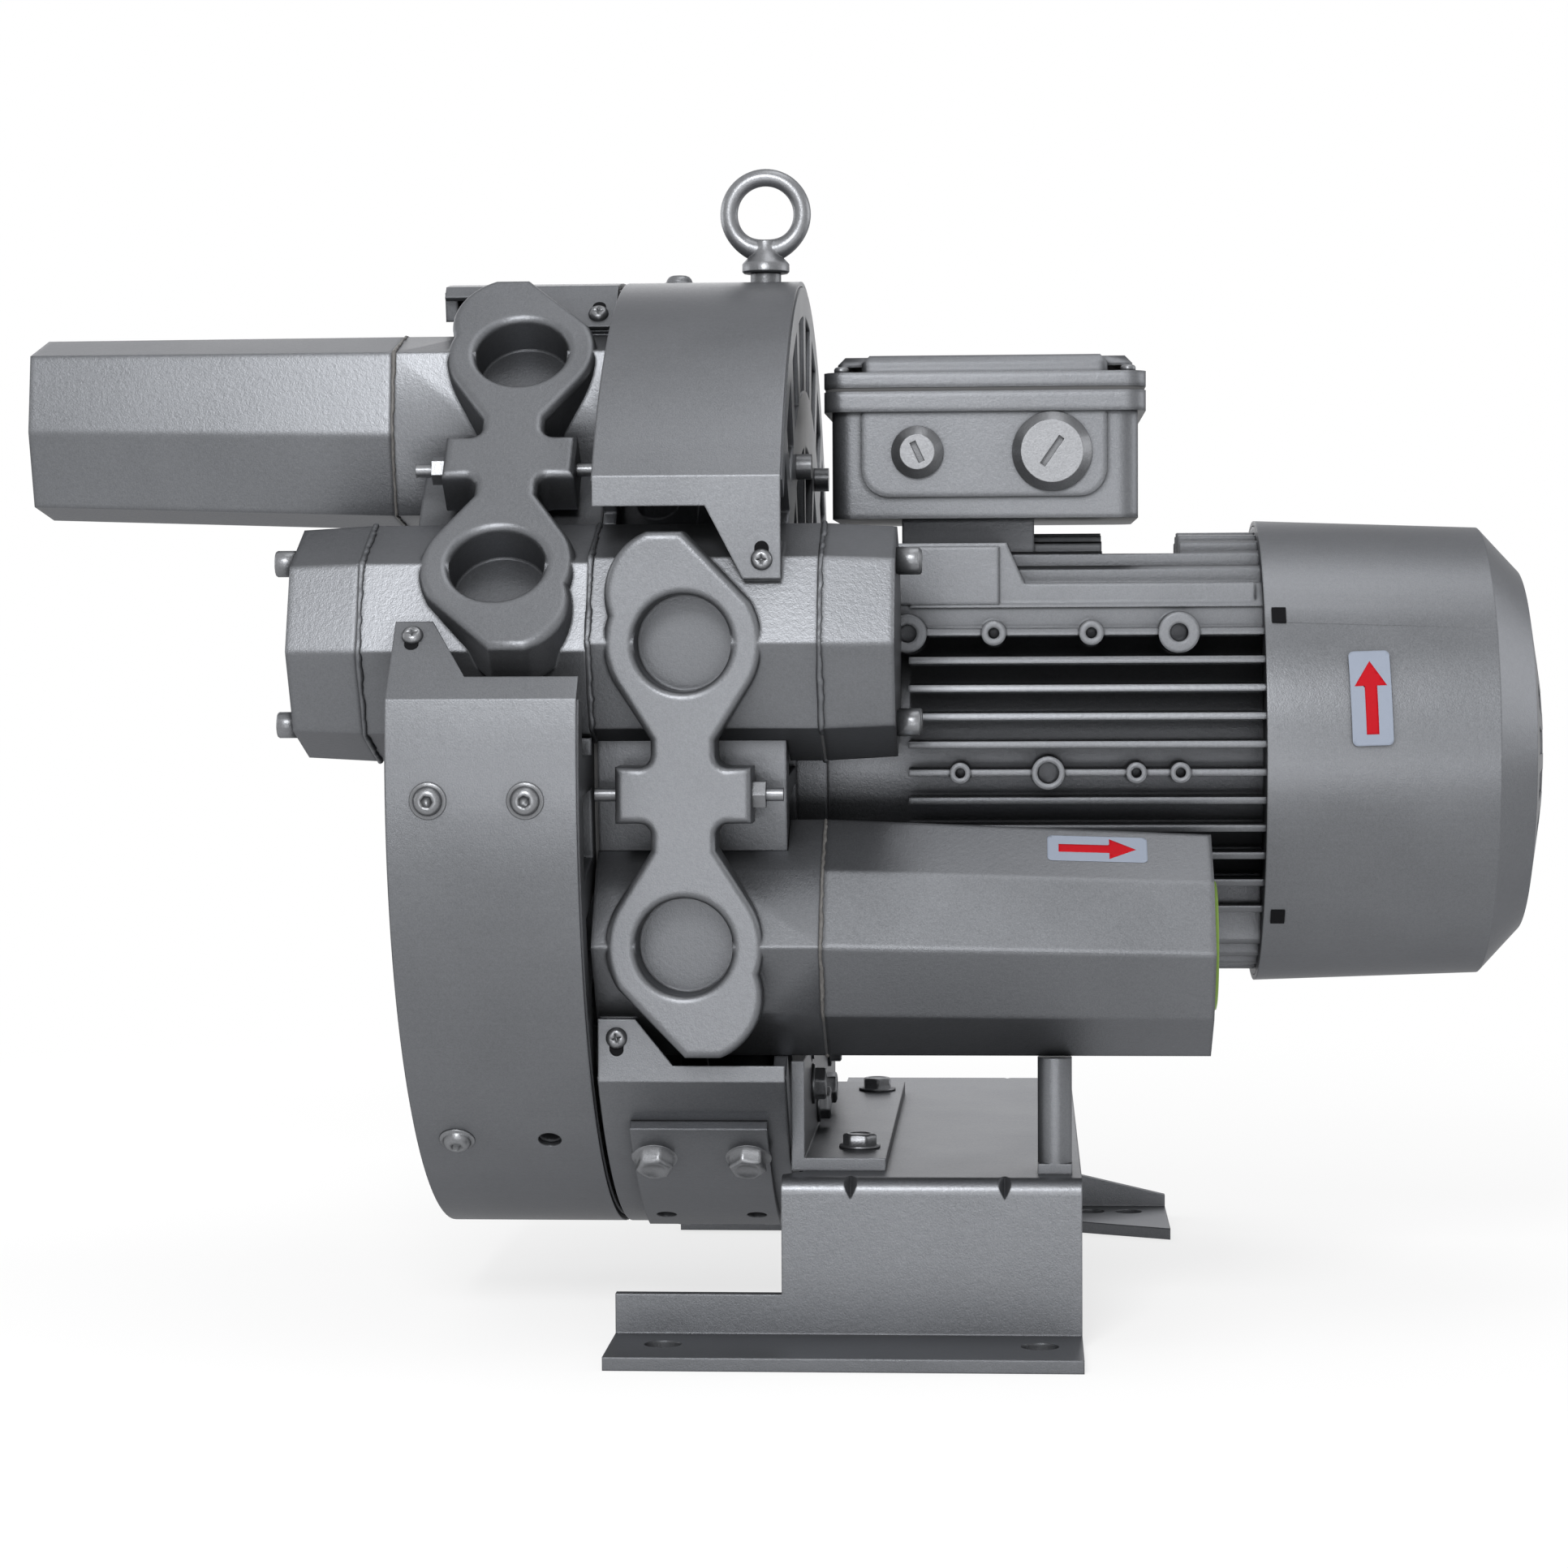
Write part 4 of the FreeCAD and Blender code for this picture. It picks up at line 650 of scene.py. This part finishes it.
def port_ring():
    low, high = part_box("outlet_port_ring")
    work = bmesh.new()
    rings = []
    for r, out in PORT_RING_PROFILE:
        ring = []
        for k in range(PORT_RING_STEPS):
            a = math.tau * k / PORT_RING_STEPS
            y = (low[1] + high[1]) / 2 + r * MM * math.cos(a)
            z = (low[2] + high[2]) / 2 + r * MM * math.sin(a)
            ring.append(work.verts.new((low[0] + out * MM, y, z)))
        rings.append(ring)
    closed_skin(work, rings)
    bmesh.ops.recalc_face_normals(work, faces=work.faces)
    shade(work, PORT_RING_SHARP)
    return put_in_scene("slim_port_ring", mesh_from(work, "slim_port_ring"))


dress(port_ring(), "outlet_port_ring", green_plastic)
print("port ring: radius", PORT_RING_R, "mm")

# %% [markdown]
# ## The lifting eye
# A forged eye bolt: a round ring that flows down into its collar. The ring is swept on a
# circle, the neck and the collar are lofted below it.

# %% Eye bolt
EYE_WIRE = 3.6
EYE_FLARE = 0.35
COLLAR_OUT = 192.3 * MM
EYE_STEPS, EYE_SIDES = 72, 20
EYE_COLLAR = [("round", 6.3, -3), ("round", 6.3, 3.6), ("round", 9.0, 3.9), ("round", 9.7, 4.6),
              ("round", 9.7, 7.6), ("round", 9.0, 8.5), ("round", 6.6, 11.0), ("round", 5.2, 14.0),
              ("round", 4.6, 17.0)]
eye_low, eye_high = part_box("lifting_eye")
eye_x = (eye_low[0] + eye_high[0]) / 2
eye_ring = (eye_high[0] - eye_low[0]) / 2 - EYE_WIRE * MM
ring_middle = Vector((eye_x, 0, eye_high[2] - EYE_WIRE * MM - eye_ring))
collar_foot = SHAFT_HEIGHT + COLLAR_OUT


def lifting_eye():
    work = bmesh.new()
    loft(work, EYE_COLLAR)
    bmesh.ops.translate(work, verts=work.verts, vec=(eye_x, 0, collar_foot))
    rings = []
    for i in range(EYE_STEPS):
        around = math.tau * i / EYE_STEPS
        out = Vector((math.cos(around), 0, math.sin(around)))
        thick = EYE_WIRE * MM * (1 + EYE_FLARE * max(0.0, -math.sin(around)) ** 6)
        ring = []
        for k in range(EYE_SIDES):
            turn = math.tau * k / EYE_SIDES
            outwards = out * (eye_ring + thick * math.cos(turn))
            sideways = Vector((0, thick * math.sin(turn), 0))
            ring.append(work.verts.new(ring_middle + outwards + sideways))
        rings.append(ring)
    closed_skin(work, rings)
    shade(work, HEAD_SHARP)
    bmesh.ops.recalc_face_normals(work, faces=work.faces)
    return put_in_scene("eye_bolt", mesh_from(work, "eye_bolt"))


dress(lifting_eye(), "lifting_eye", bolt_paint)
print("eye bolt: ring of", round(eye_ring / MM, 1), "mm")

# %% [markdown]
# ## Beads along the joints
# Where ducts, caps and silencers meet, sealant squeezed out of the joint: a thin lumpy bead
# runs round each eight-sided outline, covered with paint on the ducts and caps, and hardly at
# the silencers. It follows a path, so Geometry Nodes make it: the outline is divided finely,
# noise pushes its points about and changes its thickness, and a small circle is swept along it.

# %% Beads on the outlines of the gaskets
LUMPS, SWELLS = 260.0, 45.0
WANDER = 1.6 * MM
BEAD_STEP = 0.9 * MM
IN_4D = {"noise_dimensions": "4D"}
BEADS = [("cap_gaskets", 2.0, 1.15, cast_paint), ("middle_gasket", 17.0, 1.15, cast_paint),
         ("silencer_gaskets", 9.0, 0.7, sealant)]

beads = Recipe("bead_along_a_joint", Seam="Geometry", Thickness="Float", Seed="Float",
               Finish="Material")
line = beads.node("GeometryNodeMeshToCurve", {}, {0: beads.given("Seam")})
fine = beads.node("GeometryNodeResampleCurve", {"mode": "LENGTH"},
                  {"Curve": line, "Length": BEAD_STEP})
chance = beads.given("Seed")
lumps = beads.node("ShaderNodeTexNoise", IN_4D, {"W": chance, "Scale": LUMPS, "Detail": 3.0})
swell = beads.node("ShaderNodeTexNoise", IN_4D,
                   {"W": chance + 4.0, "Scale": SWELLS, "Detail": 2.0})
aside = beads.node("ShaderNodeCombineXYZ", {}, {"X": (lumps - 0.5) * WANDER})
moved = beads.node("GeometryNodeSetPosition", {}, {"Geometry": fine, "Offset": aside})
width = beads.given("Thickness") * (lumps * 1.3 + swell * 1.5 - 0.4)
circle = beads.node("GeometryNodeCurvePrimitiveCircle", {}, {"Resolution": 8, "Radius": 1.0})
beads.end(beads.node("GeometryNodeCurveToMesh", {},
                     {"Curve": moved, "Profile Curve": circle, "Scale": width}))


def outline_of(solid):
    """A closed line round a gasket, in the middle of its thickness."""
    x = middle_of(solid).x
    hull = convex_hull_2d([(place.y, place.z) for place in solid])
    return [Vector((x, solid[k].y, solid[k].z)) for k in hull]


for node, seed, thickness, finish in BEADS:
    corners, edges = [], []
    for solid in loose_solids(node):
        loop = outline_of(solid)
        first, count = len(corners), len(loop)
        corners += loop
        edges += [(first + k, first + (k + 1) % count) for k in range(count)]
    seam = bpy.data.meshes.new(node + "_bead")
    seam.from_pydata(corners, edges, [])
    bead = beads.make(node + "_bead", seam, Thickness=thickness * MM, Seed=seed, Finish=finish)
    add(bead)

# %% [markdown]
# ## Two arrow stickers
# One shows which way the motor turns, one which way the air leaves. Each is a pale label with
# round corners and a red arrow. Its outline is drawn flat, cut into strips, and every point is
# dropped straight onto the surface below it, so that the label follows the fan cover's curve.

# %% Labels dropped onto a surface
LABEL = (37.5, 15.7)
LABEL_CORNER = 2.0
CORNER_STEPS = 5
STRIP = 1.5
STRIPS = 14
FILM = 0.08 * MM
LABEL_LIFT, PRINT_LIFT = 0.10, 0.18
DROP = 50 * MM
ARROW = [(-14.5, -2.4), (4.5, -2.4), (4.5, -6.2), (14.5, 0.0), (4.5, 6.2), (4.5, 2.4),
         (-14.5, 2.4)]


def label_outline():
    points = []
    for k in range(4):
        quarter = math.pi / 2 * k
        sx = 1 if k in (0, 3) else -1
        sy = 1 if k in (0, 1) else -1
        for step in range(CORNER_STEPS + 1):
            a = quarter + math.pi / 2 * step / CORNER_STEPS
            points.append((sx * (LABEL[0] / 2 - LABEL_CORNER) + LABEL_CORNER * math.cos(a),
                           sy * (LABEL[1] / 2 - LABEL_CORNER) + LABEL_CORNER * math.sin(a)))
    return points


def sticker(name, outline, node, middle, along, inward, lift, finish):
    """Drops an outline onto a node's surface and thickens it a little."""
    work = bmesh.new()
    work.faces.new([work.verts.new((x * MM, y * MM, 0)) for x, y in outline])
    for axis in ((1, 0, 0), (0, 1, 0)):
        for k in range(-STRIPS, STRIPS + 1):
            everything = work.verts[:] + work.edges[:] + work.faces[:]
            place = Vector(axis) * (k * STRIP * MM)
            bmesh.ops.bisect_plane(work, geom=everything, plane_co=place, plane_no=axis)
    aside = inward.cross(along).normalized()
    surface = BVHTree.FromPolygons([v.co for v in nodes[node].data.vertices],
                                   [tuple(p.vertices) for p in nodes[node].data.polygons])
    for corner in work.verts:
        start = middle + along * corner.co.x + aside * corner.co.y - inward * DROP
        hit, _, _, _ = surface.ray_cast(start, inward)
        corner.co = hit - inward * lift * MM
    for face in work.faces:
        face.smooth = True
    mesh = mesh_from(work, name)
    mesh.materials.append(finish)
    piece = put_in_scene(name, mesh)
    thicken(piece, FILM)
    add(piece)


def place_label(name, node, middle, along, inward):
    sticker(name + "_label", label_outline(), node, middle, along, inward, LABEL_LIFT, label_film)
    sticker(name + "_arrow", ARROW, node, middle, along, inward, PRINT_LIFT, arrow_red)


COVER_R = 94 * MM
COVER_MARK = math.radians(14.5)
COVER_LEAN = -0.03
cover_inward = Vector((0, math.cos(COVER_MARK), -math.sin(COVER_MARK)))
cover_along = Vector((COVER_LEAN, math.sin(COVER_MARK), math.cos(COVER_MARK))).normalized()
cover_middle = Vector((0.1978, 0, SHAFT_HEIGHT)) - cover_inward * COVER_R
place_label("turning", "fan_cover", cover_middle, cover_along, cover_inward)
facet_inward = Vector((0, 0.545, -0.838)).normalized()
facet_middle = Vector((0.092, -0.1302, 0.1875))
place_label("airflow", "outlet_silencer", facet_middle, Vector((1, 0, 0)), facet_inward)
print("stickers: 2")

# %% [markdown]
# Each hood's tabs have a slotted hole, so that the hood can be shifted before its screw is
# drawn tight. What shows of the slot past the screw's head lies in shade: a dark bow of painted
# shade on the hood's side.

# %% Painted shade in the slots behind the tab screws
SLOT_HALF_WIDTH = 2.7
SLOT_REACH = 4.2
SLOT_LIFT = 0.1
SLOT_POINTS = 24


def slot_outline():
    ends = []
    for k in range(SLOT_POINTS):
        a = math.tau * k / SLOT_POINTS
        shift = SLOT_REACH if math.cos(a) > 0 else 0.0
        ends.append((shift + SLOT_HALF_WIDTH * math.cos(a), SLOT_HALF_WIDTH * math.sin(a)))
    return ends


tab_screws = loose_solids("tab_screws")
for screw in tab_screws:
    place = middle_of(screw)
    stage = 1 if place.x < STAGE_SPLIT else 2
    front = stage_front(place)
    rise = Vector((1, 0, 0)).cross(front) * -1
    if rise.dot(place - Vector((0, 0, SHAFT_HEIGHT))) < 0:
        rise.negate()
    name = "tab_slot_%d_%d" % (stage, round(place.z / MM))
    hood = "stage_%d_hood" % stage
    sticker(name, slot_outline(), hood, place, rise, -front, SLOT_LIFT, dark_hollow)
print("slots:", len(tab_screws))

# %% [markdown]
# ## Floor, light and camera
# The object stands on a plain white floor, which takes a faint shadow near it and glows white
# further off. Paint with metal in it shows what is around it, so the surroundings are white
# where the camera or a reflection looks at them, and half as bright where they only light the
# object. A small soft lamp stands above the camera's left shoulder and draws the bright facets
# along the ducts, wide weak ones fill in from the front, the top, the back and both sides, and
# a low one reaches the foot.

# %% World, floor and lamps
AMBIENT = 0.5
FLOOR_SIZE = 30
NEAR, FAR = 0.35, 1.0
NEAR_GLOW = 0.72


def looked_at(graph):
    """One for a ray of the camera or a reflection, nothing for a ray that only lights."""
    ray, shown, through = (graph.node("ShaderNodeLightPath", {}, {}, name)
                           for name in ("Is Camera Ray", "Is Glossy Ray", "Is Transmission Ray"))
    return ray.or_else(shown).or_else(through)


def white_surroundings():
    world = bpy.data.worlds.new("white_surroundings")
    bpy.context.scene.world = world
    world.use_nodes = True
    g = Graph(world.node_tree)
    strength = looked_at(g) * (1 - AMBIENT) + AMBIENT
    sky = g.node("ShaderNodeBackground", {}, {"Color": (1, 1, 1, 1), "Strength": strength})
    end = g.tree.nodes.new("ShaderNodeOutputWorld")
    g.tree.links.new(sky.socket, end.inputs["Surface"])


def white_floor():
    f = Finish("white_floor")
    away = f.node("ShaderNodeVectorMath", {"operation": "LENGTH"}, {0: f.place()}, "Value")
    far = f.node("ShaderNodeMapRange", {}, {0: away, 1: NEAR, 2: FAR, 3: NEAR_GLOW, 4: 1.0})
    glow = f.node("ShaderNodeEmission", {}, {"Color": (1, 1, 1, 1), "Strength": 1.0})
    matt = f.node("ShaderNodeBsdfDiffuse", {}, {"Color": (0.9, 0.9, 0.9, 1)})
    mix = f.node("ShaderNodeMixShader", {}, {0: looked_at(f) * far, 1: matt, 2: glow})
    end = f.tree.nodes.new("ShaderNodeOutputMaterial")
    f.tree.links.new(mix.socket, end.inputs["Surface"])
    bpy.ops.mesh.primitive_plane_add(size=FLOOR_SIZE, location=(0, 0, 0))
    floor = bpy.context.object
    floor.name = "floor"
    floor.data.materials.append(f.material)


def lamp(name, place, aim, size, power):
    data = bpy.data.lights.new(name, "AREA")
    data.shape = "RECTANGLE"
    data.size, data.size_y = size
    data.energy = power
    stand = put_in_scene(name, data)
    stand.location = place
    stand.rotation_euler = (Vector(aim) - Vector(place)).to_track_quat("-Z", "Y").to_euler()


body_middle, foot_middle = (0.0, 0.0, 0.25), (0.0, 0.0, 0.0)
white_surroundings()
white_floor()
lamp("key_lamp", (-0.16, -1.4, 1.0), body_middle, (0.45, 0.42), 17)
lamp("front_lamp", (0.1, -2.0, 0.3), body_middle, (1.8, 1.0), 5)
lamp("low_lamp", (0.05, -1.2, 0.06), foot_middle, (0.9, 0.1), 2)
lamp("top_lamp", (0.2, -0.1, 1.6), body_middle, (1.0, 0.5), 4)
lamp("back_lamp", (-0.5, 1.5, 0.8), body_middle, (1.6, 0.9), 9)
lamp("right_lamp", (1.7, 0.4, 0.7), body_middle, (1.2, 0.9), 7)
lamp("left_lamp", (-1.7, 0.5, 0.6), body_middle, (1.2, 0.9), 9)
print("lamps: 7")

# %% [markdown]
# The camera stands 1.5 m off with a lens of 86 mm, turned a little to the left and down, as
# the lines of the ducts and the foot ran in the photograph.

# %% Camera
CAMERA_PLACE = Vector((0.063, -1.5375, 0.2715))
YAW, PITCH, ROLL = 0.063, 0.042, -0.005
FOCAL = 85.87

camera_data = bpy.data.cameras.new("camera")
camera_data.lens = FOCAL
camera_data.sensor_width = 36
camera = put_in_scene("camera", camera_data)
forward = Vector((-math.sin(YAW) * math.cos(PITCH), math.cos(YAW) * math.cos(PITCH),
                  -math.sin(PITCH)))
right = Vector((math.cos(YAW), math.sin(YAW), 0))
up = right.cross(forward)
turn = Matrix((right, up, -forward)).transposed().to_4x4() @ Matrix.Rotation(ROLL, 4, "Z")
camera.matrix_world = Matrix.Translation(CAMERA_PLACE) @ turn
bpy.context.scene.camera = camera
bpy.context.scene.view_settings.view_transform = "Standard"
print("camera:", tuple(round(part, 3) for part in camera.location))
